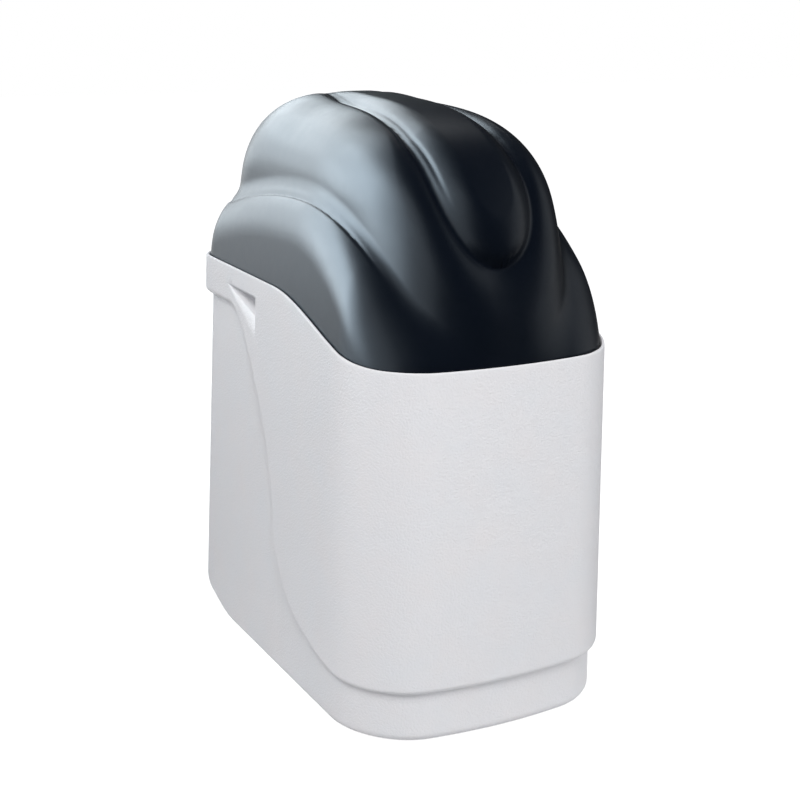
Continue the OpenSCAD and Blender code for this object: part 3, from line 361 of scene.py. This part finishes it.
# How many times taller than thick the panel's rounded edge is, evened out along its curve
def panelSteepness(y):
    c = cabinetForm
    step = np.gradient(panelCurve, axis=0)
    steep = np.minimum(np.hypot(step[:, 0], step[:, 1]) / np.abs(step[:, 0]), c["steepest"])
    span = 2 * c["evenReach"] + 1
    even = np.convolve(np.pad(steep, c["evenReach"], "edge"), np.ones(span) / span, "valid")
    return np.interp(y, panelCurve[:, 0], even)


def cabinetHalf():
    c = cabinetForm
    front = cornerArc(True, np.linspace(0, math.pi / 2, c["frontArc"]))
    rear = cornerArc(False, np.linspace(math.pi / 2, math.pi, c["rearArc"]))
    along = panelCurve[:, 0]
    fine = along[(along > front[-1, 1] + c["arcGap"]) & (along < c["edgeStop"])][::c["everyNth"]]
    side = np.sort(np.concatenate([
        fine, np.linspace(c["bandStart"], rear[0, 1] - c["rearGap"], c["bandColumns"]),
        c["pocketY"] + c["pocketLip"] * np.array(c["lipColumns"])]))
    across = np.linspace(0, front[0, 0], c["frontColumns"])[:-1]
    return np.concatenate([
        np.stack([across, np.full(len(across), -c["halfDepth"])], 1), front,
        np.stack([np.full(len(side), -c["halfWidth"]), side], 1), rear,
        straight(rear[-1], [0, c["halfDepth"]], c["rearColumns"])])


def quarterTurn(step):
    return np.radians(np.arange(0, 91, step))


# Rows of the cabinet from the foot up outside, over the rim and down inside
def cabinetRows(y, side):
    c = cabinetForm
    rim = rimHeight(y)
    edge = panelHeight(y)
    steep = panelSteepness(y)
    soft = smoothStep((y - c["crispY"]) / c["crispRun"]) * smoothStep((c["bandY"] - y) / c["bandRun"])
    soft = np.where(side, soft, 0)
    ceiling = rim - c["pocketDrop"]
    ahead = np.clip(1 - (y - c["pocketY"]) / c["pocketLength"], 0, 1)
    pocketFoot = ceiling - c["pocketHeight"] * np.maximum(ahead, c["pocketLeast"])
    deepest = np.where(side & (y > c["pocketY"]), c["pocketDepth"] * ahead, 0)
    housing = np.where(side & (y > c["pocketY"] - c["wall"]), c["pocketDepth"] * ahead, 0)
    behind = smoothStep((y - c["rearRoundY"]) / (c["halfDepth"] - c["rearRoundY"]))
    base = c["baseRound"] + c["rearRound"] * behind
    every = np.ones(len(y))
    below = np.outer(c["edgeBelow"], every)
    below = edge - np.minimum(steep * below, (edge - base) * below / c["edgeBelow"][0] * c["belowShare"])
    above = np.outer(c["edgeAbove"], every)
    room = np.maximum(pocketFoot - edge, c["leastAbove"])
    above = edge + np.minimum(steep * above, room * above / c["edgeAbove"][-1] * c["aboveShare"])
    rows = []

    def row(z, inset, drop=None):
        rows.append((z + 0 * y, inset + 0 * y, drop))

    # A crisp round step at the front that eases into a hollow ramp along the side
    def stepInset(z):
        d = (z - edge) / steep
        crisp = np.clip(.5 + d / c["frontEdge"], 0, 1)
        crisp = (1 - (1 - crisp) ** c["stepPower"]) ** (1 / c["stepPower"])
        lip = np.clip(1 + d / c["sideLip"], 0, 1) ** c["lipPower"]
        slope = np.clip(1 + d / c["sideRamp"], 0, 1) ** c["rampPower"]
        ramp = lip * c["lipShare"] + (1 - c["lipShare"]) * slope
        return c["panelStep"] * (1 - crisp - (ramp - crisp) * soft)

    for a in quarterTurn(10):
        z = base * (1 - math.cos(a))
        row(z, draftAt(z) + c["panelStep"] + base * (1 - math.sin(a)))
    for t in c["footRows"]:
        z = base + (below[0] - base) * t
        row(z, draftAt(z) + stepInset(z))
    for z in (*below, *above):
        row(z, draftAt(z) + stepInset(z))
    for t in c["panelRows"]:
        z = above[-1] + (pocketFoot - above[-1]) * t
        row(z, draftAt(z))
    for t, share in c["pocketRows"]:
        z = pocketFoot + (ceiling - c["pocketLip"] - pocketFoot) * t
        row(z, draftAt(z) + deepest * share)
    for t, share in c["lipRows"]:
        z = ceiling + c["pocketLip"] * t
        row(z, draftAt(z) + deepest * share)
    for t in c["topRows"]:
        z = ceiling + c["pocketLip"] + (rim - ceiling) * t
        row(z, draftAt(z))
    r = c["rimRound"]
    for a in quarterTurn(15):
        row(rim, draftAt(rim) + r * (1 - math.cos(a)), r * (1 - math.sin(a)))
    for a in quarterTurn(30):
        row(rim, draftAt(rim) + c["rimLip"] - r / 2 * (1 - math.sin(a)), r / 2 * (1 - math.cos(a)))
    for drop, inset in ((c["rebate"], c["rimLip"]), (c["rebate"], c["ledgeInset"]),
                        (c["rebate"] + c["ledgeThick"], c["ledgeInset"])):
        row(rim, draftAt(rim) + inset, drop)
    inner = c["wall"]
    row(ceiling + c["pocketRoof"], draftAt(ceiling) + inner)
    for t, share in c["housingRows"]:
        z = pocketFoot + (ceiling + c["housingRoof"] - pocketFoot) * t
        row(z, draftAt(z) + inner + housing * share)
    for t in c["innerRows"]:
        z = above[-1] + (pocketFoot - above[-1]) * t
        row(z, draftAt(z) + inner)
    for z in (*above[::-2], *below[::-2]):
        row(z, draftAt(z) + inner + stepInset(z))
    z = base + (below[0] - base) * c["innerFoot"]
    row(z, draftAt(z) + c["panelStep"] + inner)
    for a in quarterTurn(30):
        z = c["floor"] + (base - c["floor"]) * (1 - math.sin(a))
        row(z, draftAt(z) + c["panelStep"] + inner + base / 2 * (1 - math.cos(a)))
    return rows


def ringFaces(rings, n):
    i = np.arange(n)
    after = (i + 1) % n
    ring = np.stack([i, after, n + after, n + i], 1)
    return np.concatenate([ring + j * n for j in range(rings - 1)]).tolist()


def makeCabinet():
    c = cabinetForm
    outline = mirrored(cabinetHalf())
    n = len(outline)
    focus = c["halfDepth"] - c["halfWidth"]
    start = np.stack([np.zeros(n), np.clip(outline[:, 1], -focus, focus)], 1)
    aim = outline - start
    aim /= np.linalg.norm(aim, axis=1)[:, None]
    rows = cabinetRows(outline[:, 1], np.abs(outline[:, 0]) > c["halfWidth"] - c["sideGap"])
    z = np.array([r[0] for r in rows])
    inset = np.array([r[1] for r in rows])

    def outside(t):
        return planDistance(start[:, 0] + t * aim[:, 0], start[:, 1] + t * aim[:, 1], inset) > 0

    t = leaveAt(outside, z.shape, c["rayLength"])
    x, y = start[:, 0] + t * aim[:, 0], start[:, 1] + t * aim[:, 1]
    for j, (*_, drop) in enumerate(rows):
        if drop is not None:
            z[j] = rimHeight(y[j]) - drop
    points = np.stack([x, y, z], 2).reshape(-1, 3)
    faces = ringFaces(len(rows), n) + [list(range(n))[::-1], [(len(rows) - 1) * n + i for i in range(n)]]
    makePiece("cabinetShell", points, faces, cabinetFinish, "cabinet", "cabinet_white", "cabinet")


makeCabinet()
print("cabinet made")


# Hood: fenders below, a shouldered upper body above and a tongue down the middle (metres)
hoodForm = {
    "inset": .0041, "wall": .003, "skirt": .0103,
    "fenderRise": .170, "fenderBlend": .072, "fenderPeak": -.017, "fallFront": 3.3, "fallRear": .8,
    "fenderLean": .07, "fenderFoot": .042,
    "shoulderInset": .036, "shoulderLean": .1, "leanBlend": .08, "shoulderBow": 2.4, "bowRise": .030,
    "shoulderRise": .126, "shoulderBlend": .074,
    "taper": .93, "taperY": -.013, "ledgeBlend": .0084,
    "crownY": .036, "crownFoot": -.010, "crownHeight": .263, "crownTuck": .4, "crownRearInset": .0175,
    "crownPowerFront": 2.7, "crownPowerRear": 4.3,
    "tongueWidth": .056, "tongueNarrow": .094, "tongueWideY": -.105, "tipRise": .190, "tipShare": .615,
    "tongueFlank": .58, "tipFlank": .28, "flankPower": 1.7, "tongueCrown": .003,
    "channel": .018, "moatDepth": .021, "creaseBlend": .006,
    "moatReach": .038, "moatRear": .0175, "moatY": -.165, "moatRun": .080,
    "tongueEnd": .165, "tongueFade": .110, "footFade": .070,
    # fine grooves beside the tongue and on the fender: depth, width and place
    "grooveDepth": .0013, "grooveWidth": .0017, "tongueGroove": -.0065, "ledgeGroove": .0075,
    "grooveFoot": .150, "grooveFade": .060,
    # opening for the pipes in the back
    "notchHalf": .072, "notchTop": .539, "notchPower": 8, "notchLip": .004, "notchGap": .0002,
    "notchSwing": .06, "rearGap": .001,
    # rays from a low line along the middle, and how many rows and columns they make
    "ridgeShare": .6, "rayFoot": -.014, "rayLength": .42, "outerRows": 190, "innerRows": 40,
    "frontArc": 30, "rearArc": 18, "frontColumns": 40, "sideColumns": 90, "rearColumns": 14,
    "notchColumns": 22,
}


def fenderHeight(y):
    h = hoodForm
    t = y - h["fenderPeak"]
    foot = cabinetForm["rimFront"]
    arch = foot + h["fenderRise"] - np.where(t < 0, h["fallFront"], h["fallRear"]) * t * t
    return smoothMax(arch, foot + h["fenderFoot"], h["fenderFoot"])


def crownDistance(y, z):
    h = hoodForm
    c = cabinetForm
    ahead = y < h["crownY"]
    front = c["halfDepth"] - h["inset"] - h["crownTuck"] * h["ledgeBlend"] + h["crownY"]
    rear = c["halfDepth"] - h["crownRearInset"] - h["crownY"]
    power = np.where(ahead, h["crownPowerFront"], h["crownPowerRear"])
    u = np.abs(y - h["crownY"]) / np.where(ahead, front, rear)
    v = np.maximum(z - c["rimFront"] - h["crownFoot"], 0) / h["crownHeight"]
    return ((u ** power + v ** power) ** (1 / power) - 1) * h["crownHeight"]


def groove(distance):
    return hoodForm["grooveDepth"] * np.exp(-(distance / hoodForm["grooveWidth"]) ** 2)


# How far the crown is sunk round the tongue; away from it a third of the moat's depth is left
def tongueRelief(x, y, z):
    h = hoodForm
    foot = cabinetForm["rimFront"]
    width = h["tongueWidth"] - h["tongueNarrow"] * np.maximum(y - h["tongueWideY"], 0)
    rho = np.hypot(x, np.maximum(foot + h["tipRise"] - z, 0) * h["tipShare"])
    d = rho - width
    broad = smoothStep((z - foot - h["grooveFoot"] + h["grooveFade"]) / h["grooveFade"])
    down = np.clip(1 + d / (width * (h["tipFlank"] + (h["tongueFlank"] - h["tipFlank"]) * broad)), 0, 2)
    crown = h["tongueCrown"] * np.minimum(rho / width, 1) ** 2
    flank = crown + (h["channel"] - h["tongueCrown"]) * down ** h["flankPower"]
    reach = h["moatReach"] + (h["moatRear"] - h["moatReach"]) * smoothStep((y - h["moatY"]) / h["moatRun"])
    moat = h["moatDepth"] * (1 + 2 * (1 - np.clip(d / reach, 0, 1)) ** 2) / 3
    fade = smoothStep((h["tongueEnd"] - y) / h["tongueFade"]) * smoothStep((z - foot) / h["footFade"])
    high = smoothStep((z - foot - h["grooveFoot"]) / h["grooveFade"])
    return fade * (smoothMin(flank, moat, h["creaseBlend"]) + high * groove(d - h["tongueGroove"]))


def hoodDistance(x, y, z):
    h = hoodForm
    rim = rimHeight(y)
    inset = h["inset"] + draftAt(rim) + np.maximum(z - rim, 0) * h["fenderLean"]
    fender = smoothMax(planDistance(x, y, inset), z - fenderHeight(y), h["fenderBlend"])
    taper = h["taper"] * np.maximum(h["taperY"] - y, 0) ** 2
    rise = z - cabinetForm["rimFront"] - h["shoulderRise"]
    bow = h["shoulderBow"] * np.maximum(rise - h["bowRise"], 0) ** 2
    lean = h["shoulderLean"] * smoothMin(rise, 0 * rise, h["leanBlend"]) + bow
    side = np.abs(x) - (cabinetForm["halfWidth"] - h["shoulderInset"] - lean - taper)
    upper = smoothMax(side, crownDistance(y, z) + tongueRelief(x, y, z), h["shoulderBlend"])
    high = smoothStep((z - cabinetForm["rimFront"] - h["grooveFoot"] / 2) / h["grooveFade"])
    return smoothMin(fender + high * groove(upper - h["ledgeGroove"]), upper, h["ledgeBlend"])


def hoodHalf():
    c, h = cabinetForm, hoodForm
    front = cornerArc(True, np.linspace(0, math.pi / 2, h["frontArc"]))
    rear = cornerArc(False, np.linspace(math.pi / 2, math.pi, h["rearArc"]))
    middle = [0, -c["halfDepth"]]
    edge = [-h["notchHalf"] - h["notchGap"], c["halfDepth"]]
    swing = np.linspace(math.pi / 2 - h["notchSwing"], 0, h["notchColumns"])
    opening = np.stack([-h["notchHalf"] * np.sin(swing), np.full(len(swing), c["halfDepth"])], 1)
    return np.concatenate([
        [middle], straight(middle, front[0], h["frontColumns"])[:-1], front,
        straight(front[-1], rear[0], h["sideColumns"])[:-1], rear,
        straight(rear[-1], edge, h["rearColumns"]), opening])


# One skin of the hood, as rows of points from the foot up to the ridge
def hoodSkin(outline, level, rows):
    c, h = cabinetForm, hoodForm
    start = np.stack([np.zeros(len(outline)), outline[:, 1] * h["ridgeShare"]], 1)
    aim = outline - start
    aim /= np.linalg.norm(aim, axis=1)[:, None]
    rim = rimHeight(outline[:, 1])
    across = np.abs(outline[:, 0]) / h["notchHalf"]
    isOpen = (outline[:, 1] > c["halfDepth"] - h["rearGap"]) & (across < 1)
    arch = (1 - np.minimum(across, 1) ** h["notchPower"]) ** (1 / h["notchPower"])
    foot = rim - h["skirt"] + np.where(isOpen, (h["notchTop"] - rim + h["skirt"]) * arch, 0)
    begin = np.maximum(rim, foot + h["notchLip"])
    base = c["rimFront"] + h["rayFoot"]

    def along(t, z, angle):
        flat = t * np.cos(angle)
        return flat * aim[:, 0], start[:, 1] + flat * aim[:, 1], z + t * np.sin(angle)

    def reach(z, angle):
        return leaveAt(lambda t: hoodDistance(*along(t, z, angle)) > level, len(outline), h["rayLength"])

    still = np.zeros(len(outline))
    footRow = np.stack(along(reach(np.maximum(foot, rim), still), foot, still), 1)
    footRow[:, 2] = np.where(isOpen, foot, rimHeight(footRow[:, 1]) - h["skirt"])
    first = np.arctan2(begin - base, reach(begin, still))
    angles = [first + (math.pi / 2 - first) * j / rows for j in range(rows + 1)]
    return [footRow] + [np.stack(along(reach(base, a), base, a), 1) for a in angles]


# Faces of one skin of the hood, whose left and right halves share the ridge row
def hoodFaces(base, rows, n, last):
    i = np.arange(n)
    after = (i + 1) % n
    ridge = base + n * rows
    faces = []
    for j in range(rows):
        low = base + j * n
        high = low + n
        if j < rows - 1:
            faces.append(np.stack([low + i, low + after, high + after, high + i], 1))
        else:
            top = ridge + np.where(i <= last, i, n - i)
            topAfter = ridge + np.where(after <= last, after, n - after)
            faces.append(np.stack([low + i, low + after, topAfter, top], 1))
    return np.concatenate(faces).tolist()


def makeHood():
    h = hoodForm
    half = hoodHalf()
    outline = mirrored(half)
    n, last = len(outline), len(half) - 1
    points, faces, feet = [], [], []
    for level, rows in ((0, h["outerRows"]), (-h["wall"], h["innerRows"])):
        base = sum(len(p) for p in points)
        skin = hoodSkin(outline, level, rows)
        points += skin[:-1] + [skin[-1][:last + 1]]
        faces += hoodFaces(base, rows + 1, n, last)
        feet.append(base)
    i = np.arange(n)
    after = (i + 1) % n
    faces += np.stack([feet[0] + i, feet[1] + i, feet[1] + after, feet[0] + after], 1).tolist()
    makePiece("hoodShell", np.concatenate(points), faces, hoodFinish, "hood", "hood_black", "hood")


makeHood()
print("hood made")


# Finishes of the inner pieces, named by the record's slots
mouldedLooks = {
    "boot_black": {"colour": (.028, .029, .032), "roughness": .60, "grain": 520, "depth": .00014},
    "valve_grey": {"colour": (.045, .048, .053), "roughness": .50, "grain": 380, "depth": .00012,
                   "uneven": .18},
    "spacer_grey": {"colour": (.45, .47, .50), "roughness": .42, "cloud": 60},
    "bracket_grey": {"colour": (.16, .17, .185), "roughness": .50, "grain": 600, "uneven": .08},
    "gear_white": {"colour": (.82, .81, .78), "roughness": .34, "cloud": 90, "depth": .00003, "uneven": .03},
    "cover_black": {"colour": (.028, .030, .034), "roughness": .46, "grain": 1400, "depth": .00010},
    "socket_black": {"colour": (.020, .020, .022), "roughness": .38, "cloud": 80},
    "fitting_white": {"colour": (.78, .78, .76), "roughness": .40, "cloud": 50, "uneven": .025},
    "rotor_red": {"colour": (.50, .03, .035), "roughness": .28, "cloud": 70, "depth": .00003, "uneven": .05},
    "nut_black": {"colour": (.050, .054, .060), "roughness": .48, "grain": 420, "depth": .00012,
                  "uneven": .16},
    "seal_rubber": {"colour": (.015, .015, .016), "roughness": .66, "cloud": 120, "uneven": .12,
                    "gloss": .16},
    "key_grey": {"colour": (.16, .17, .19), "roughness": .72, "grain": 2200, "depth": .00005, "gloss": .10},
}
metalLooks = {
    "rod_steel": {"colour": (.62, .63, .65), "roughness": .24, "drawn": (1, .02, 1)},
    "motor_steel": {"colour": (.55, .56, .58), "roughness": .30, "drawn": (1, .03, 1)},
    "pinion_brass": {"colour": (.75, .56, .25), "roughness": .26, "drawn": (.02, 1, .02)},
    "tail_brass": {"colour": (.70, .50, .28), "roughness": .28, "drawn": (.02, 1, .02)},
}
metalSkin = {"lines": 1600, "lineDepth": .00003, "tarnish": 45, "dull": .82, "bright": 1.05,
             "polish": .06, "spread": .14}
milkyLooks = {
    "natural_plastic": {"colour": (.80, .77, .68), "roughness": .36, "depth": .008, "share": .35},
    "tube_clear": {"colour": (.74, .78, .80), "roughness": .24, "depth": .006, "share": .55},
    "well_white": {"colour": (.80, .81, .82), "roughness": .44, "depth": .004, "share": .15},
}
milkySkin = {"lines": 260, "drawn": (1, 1, .03), "lineDepth": .00006, "clouds": 24, "dull": .95,
             "bright": 1.04, "polish": .04, "spread": .1, "radius": (1, .9, .8)}
vesselLook = {"dark": (.10, .18, .29), "light": (.21, .32, .45), "turns": 30, "pitch": 420,
              "fibres": 900, "drawn": (1, 1, .12), "weaveShare": .7, "fibreShare": .3, "fibreRise": .4,
              "ribDepth": .0005, "roughness": .34, "clouds": 30, "polish": .08, "spread": .16}
beadLook = {"dark": (.30, .13, .02), "light": (.62, .38, .10), "beads": 620, "roughness": .32, "depth": .0010}
foamLook = {"dark": (.80, .80, .79), "light": (.90, .90, .89), "beads": 260, "roughness": .60, "depth": .0005}
pistonLook = {"colour": (.62, .52, .34), "roughness": .30, "rings": 1800, "drawn": (.01, 1, .01),
              "depth": .00003, "clouds": 40, "dull": .93, "bright": 1.05, "polish": .05, "spread": .12}
boardLook = {"mask": (.024, .13, .055), "track": (.05, .22, .09), "tracks": 95, "gap": .045,
             "depth": .00004, "roughness": .36, "clouds": 200, "polish": .04, "spread": .1}
paneLook = {"tint": (.42, .50, .53), "clear": .92, "ior": 1.49, "roughness": .05, "smudge": .07,
            "smudges": 60, "waves": 35, "waveDepth": .00002}


def camelName(slot):
    first, *others = slot.split("_")
    return first + "".join(word.title() for word in others)


# Drawn or turned metal, with its fine lines along one axis and a little tarnish
def lineyMetal(slot, colour, roughness, drawn):
    s = metalSkin
    f = Finish(camelName(slot))
    lines = f.noise(s["lines"], 3, .6, f.stretch(*drawn))
    f.set(Metallic=1, Base_Color=f.shades(f.noise(s["tarnish"], 4, .6), colour, s["dull"], s["bright"]),
          Roughness=roughness - s["polish"] + s["spread"] * lines)
    return f.bump(lines, s["lineDepth"])


# Unpigmented plastic that lets some light in
def milkyPlastic(slot, colour, roughness, depth, share):
    s = milkySkin
    f = Finish(camelName(slot))
    lines = f.noise(s["lines"], 2, .5, f.stretch(*s["drawn"]))
    f.set(Subsurface_Weight=share, Subsurface_Radius=s["radius"], Subsurface_Scale=depth,
          Base_Color=f.shades(f.noise(s["clouds"], 3), colour, s["dull"], s["bright"]),
          Roughness=roughness - s["polish"] + s["spread"] * lines)
    return f.bump(lines, s["lineDepth"])


# Glass fibre wound both ways round the vessel under a skin of resin
def woundFibre(s):
    f = Finish("vesselBlue")
    middle = sum(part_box("pressure_vessel"), Vector()) / 2
    turn = (f.axis("X") - middle.x).math("ARCTAN2", f.axis("Y") - middle.y) * s["turns"]
    climb = f.axis("Z") * s["pitch"]
    bands = (turn + climb).math("SINE", 0) + (turn - climb).math("SINE", 0)
    weave = .5 + .25 * bands
    fibres = f.noise(s["fibres"], 3, .6, f.stretch(*s["drawn"]))
    f.set(Base_Color=f.mix(s["weaveShare"] * weave + s["fibreShare"] * fibres, s["dark"], s["light"]),
          Roughness=s["roughness"] - s["polish"] + s["spread"] * f.noise(s["clouds"], 3))
    return f.bump(weave + s["fibreRise"] * fibres, s["ribDepth"])


# Beads with painted shade in the gaps between them, which are also duller there
def beaded(name, s, clump=3, shade=.5, spread=.2):
    f = Finish(name)
    beads = f.cells(s["beads"])
    # painted shade: the colour darkens towards the gaps between the beads
    f.set(Base_Color=f.mix(f.noise(s["beads"] / clump, 2) * (1 - shade * beads), s["dark"], s["light"]),
          Roughness=s["roughness"] + spread * beads)
    return f.bump(1 - beads, s["depth"])


def groundPiston(s):
    f = Finish("pistonTan")
    rings = f.noise(s["rings"], 2, .5, f.stretch(*s["drawn"]))
    f.set(Base_Color=f.shades(f.noise(s["clouds"], 3), s["colour"], s["dull"], s["bright"]),
          Roughness=s["roughness"] - s["polish"] + s["spread"] * rings)
    return f.bump(rings, s["depth"])


def solderMask(s):
    f = Finish("boardGreen")
    tracks = f.node("ShaderNodeTexBrick", None,
                    {"Vector": f.place, "Scale": s["tracks"], "Mortar Size": s["gap"]}, output="Fac")
    f.set(Base_Color=f.mix(tracks, s["mask"], s["track"]),
          Roughness=s["roughness"] - s["polish"] + s["spread"] * f.noise(s["clouds"], 2))
    return f.bump(tracks, s["depth"])


def smokedPane(s):
    f = Finish("displayGlass")
    f.set(Transmission_Weight=s["clear"], IOR=s["ior"], Base_Color=s["tint"],
          Roughness=s["roughness"] + s["smudge"] * f.noise(s["smudges"], 4, .6))
    return f.bump(f.noise(s["waves"], 2), s["waveDepth"])


def dressNodes():
    finishes = {slot: mouldedPlastic(camelName(slot), **look) for slot, look in mouldedLooks.items()}
    finishes |= {slot: lineyMetal(slot, **look) for slot, look in metalLooks.items()}
    finishes |= {slot: milkyPlastic(slot, **look) for slot, look in milkyLooks.items()}
    finishes |= {
        "cabinet_white": cabinetFinish, "hood_black": hoodFinish, "vessel_blue": woundFibre(vesselLook),
        "resin_amber": beaded("resinAmber", beadLook), "float_white": beaded("floatWhite", foamLook),
        "piston_tan": groundPiston(pistonLook), "board_green": solderMask(boardLook),
        "display_glass": smokedPane(paneLook)}
    for part in frame["record"]["subparts"]:
        for place in frame["nodes"][part["node"]].material_slots:
            place.material = finishes[part["material_slot"]].material


dressNodes()


# Floor, white background and soft light
stageLight = {
    "ambient": (.30, .305, .32),
    "floorColour": .6, "floorGlow": .86, "floorSize": (14, 14), "floorPlace": (0, 0, -.0003),
    "fillTarget": (0, 0, .3),
    "fill": {"place": (1.9, -1.9, 1.5), "size": (1.6, 1.6), "power": 28},
    "sideFill": {"place": (-1.55, -1.55, 2.6), "size": (1.4, 1.4), "power": 64},
    "boxTarget": (0, 0, .5),
    "softbox": {"place": (-1.55, .97, 1.33), "size": (1.45, 1.9), "power": 81},
    "lowBox": {"place": (-1.02, 1.90, .85), "size": (1.75, .8), "power": 13},
    "rearBox": {"place": (-.26, 1.95, 1.44), "size": (1.85, .72), "power": 22},
    "highBox": {"place": (-.66, 1.35, 2.15), "size": (1.1, 1.0), "power": 20},
    "window": {"place": (-1.90, .30, 1.18), "size": (1.3, 1.6), "power": 32},
    "skyColour": (.86, .95, 1),
    # place, width and depth, facing and shade of each panel that only reflections see
    "flags": (
        ((.1, -2.6, 1.9), (5.2, 4.0), (0, 1, 0), .004),
        ((2.7, -1.2, 1.9), (2.8, 4.0), (-1, 0, 0), .50),
        ((2.7, 1.7, 1.9), (3.0, 4.0), (-1, 0, 0), .03),
        ((1.7, 3.1, 1.9), (2.6, 4.0), (0, -1, 0), .04),
        ((.9, -.8, 3.4), (5.2, 4.8), (0, 0, -1), .012),
        ((.7, -1.5, .004), (4.6, 2.3), (0, 0, 1), .012),
        ((1.5, 1.2, .004), (2.5, 3.0), (0, 0, 1), .30),
        ((-1.2, 1.6, .004), (2.8, 2.6), (0, 0, 1), .70)),
}


def seenRays(kit):
    camera, glossy, through = (kit.node("ShaderNodeLightPath", output=f"Is {kind} Ray")
                               for kind in ("Camera", "Glossy", "Transmission"))
    return camera.math("MAXIMUM", glossy).math("MAXIMUM", through)


def makeWorld(s):
    world = bpy.data.worlds.new("studio")
    world.use_nodes = True
    world.node_tree.nodes.clear()
    kit = NodeKit(world.node_tree)
    plain = kit.node("ShaderNodeBackground", None, {"Color": s["ambient"]})
    white = kit.node("ShaderNodeBackground", None, {"Color": (1, 1, 1)})
    mixed = kit.node("ShaderNodeMixShader", None, {0: seenRays(kit), 1: plain, 2: white})
    kit.feed(kit.tree.nodes.new("ShaderNodeOutputWorld").inputs["Surface"], mixed)
    scene.world = world


def stageMaterial(name, surface):
    material = bpy.data.materials.new(name)
    material.use_nodes = True
    material.node_tree.nodes.clear()
    kit = NodeKit(material.node_tree)
    kit.feed(kit.tree.nodes.new("ShaderNodeOutputMaterial").inputs["Surface"], surface(kit))
    return material


def stagePlane(name, place, size, facing, material):
    mesh = bpy.data.meshes.new(name)
    w, d = size[0] / 2, size[1] / 2
    mesh.from_pydata([(-w, -d, 0), (w, -d, 0), (w, d, 0), (-w, d, 0)], [], [(0, 1, 2, 3)])
    mesh.materials.append(material)
    plane = bpy.data.objects.new(name, mesh)
    scene.collection.objects.link(plane)
    plane.location = place
    plane.rotation_mode = "QUATERNION"
    plane.rotation_quaternion = Vector(facing).to_track_quat("Z", "Y")
    return plane


def floorSurface(kit):
    matt = kit.node("ShaderNodeBsdfDiffuse", None, {"Color": (stageLight["floorColour"],) * 3})
    glow = kit.node("ShaderNodeEmission", None, {"Strength": seenRays(kit) * stageLight["floorGlow"]})
    return kit.node("ShaderNodeAddShader", None, {0: matt, 1: glow})


def makeFloor(s):
    stagePlane("floor", s["floorPlace"], s["floorSize"], (0, 0, 1), stageMaterial("floorWhite", floorSurface))


# Grey and dark panels that only reflections see shape the gloss of the black hood
def makeFlags(s):
    for number, (place, size, facing, shade) in enumerate(s["flags"]):
        cloth = stageMaterial(f"flagCloth{number}",
                              lambda kit: kit.node("ShaderNodeEmission", None, {"Color": (shade,) * 3}))
        flag = stagePlane(f"flag{number}", place, size, facing, cloth)
        for kind in ("camera", "diffuse", "transmission", "shadow"):
            setattr(flag, "visible_" + kind, False)


def areaLight(name, s, target, colour, hidden):
    lamp = bpy.data.lights.new(name, "AREA")
    lamp.shape = "RECTANGLE"
    lamp.size, lamp.size_y = s["size"]
    lamp.energy = s["power"]
    lamp.color = colour
    light = bpy.data.objects.new(name, lamp)
    scene.collection.objects.link(light)
    light.location = s["place"]
    light.rotation_mode = "QUATERNION"
    light.rotation_quaternion = (Vector(target) - Vector(s["place"])).to_track_quat("-Z", "Y")
    for kind in hidden:
        setattr(light, "visible_" + kind, False)


# Fills light the matt surfaces only, and boxes show only in what reflects
def makeLights(s):
    for name in ("fill", "sideFill"):
        areaLight(name, s[name], s["fillTarget"], (1, 1, 1), ("camera", "glossy"))
    for name in ("softbox", "lowBox", "rearBox", "highBox", "window"):
        areaLight(name, s[name], s["boxTarget"], s["skyColour"], ("camera", "diffuse"))


makeWorld(stageLight)
makeFloor(stageLight)
makeFlags(stageLight)
makeLights(stageLight)
scene.view_settings.view_transform = "Standard"
print("stage lit")
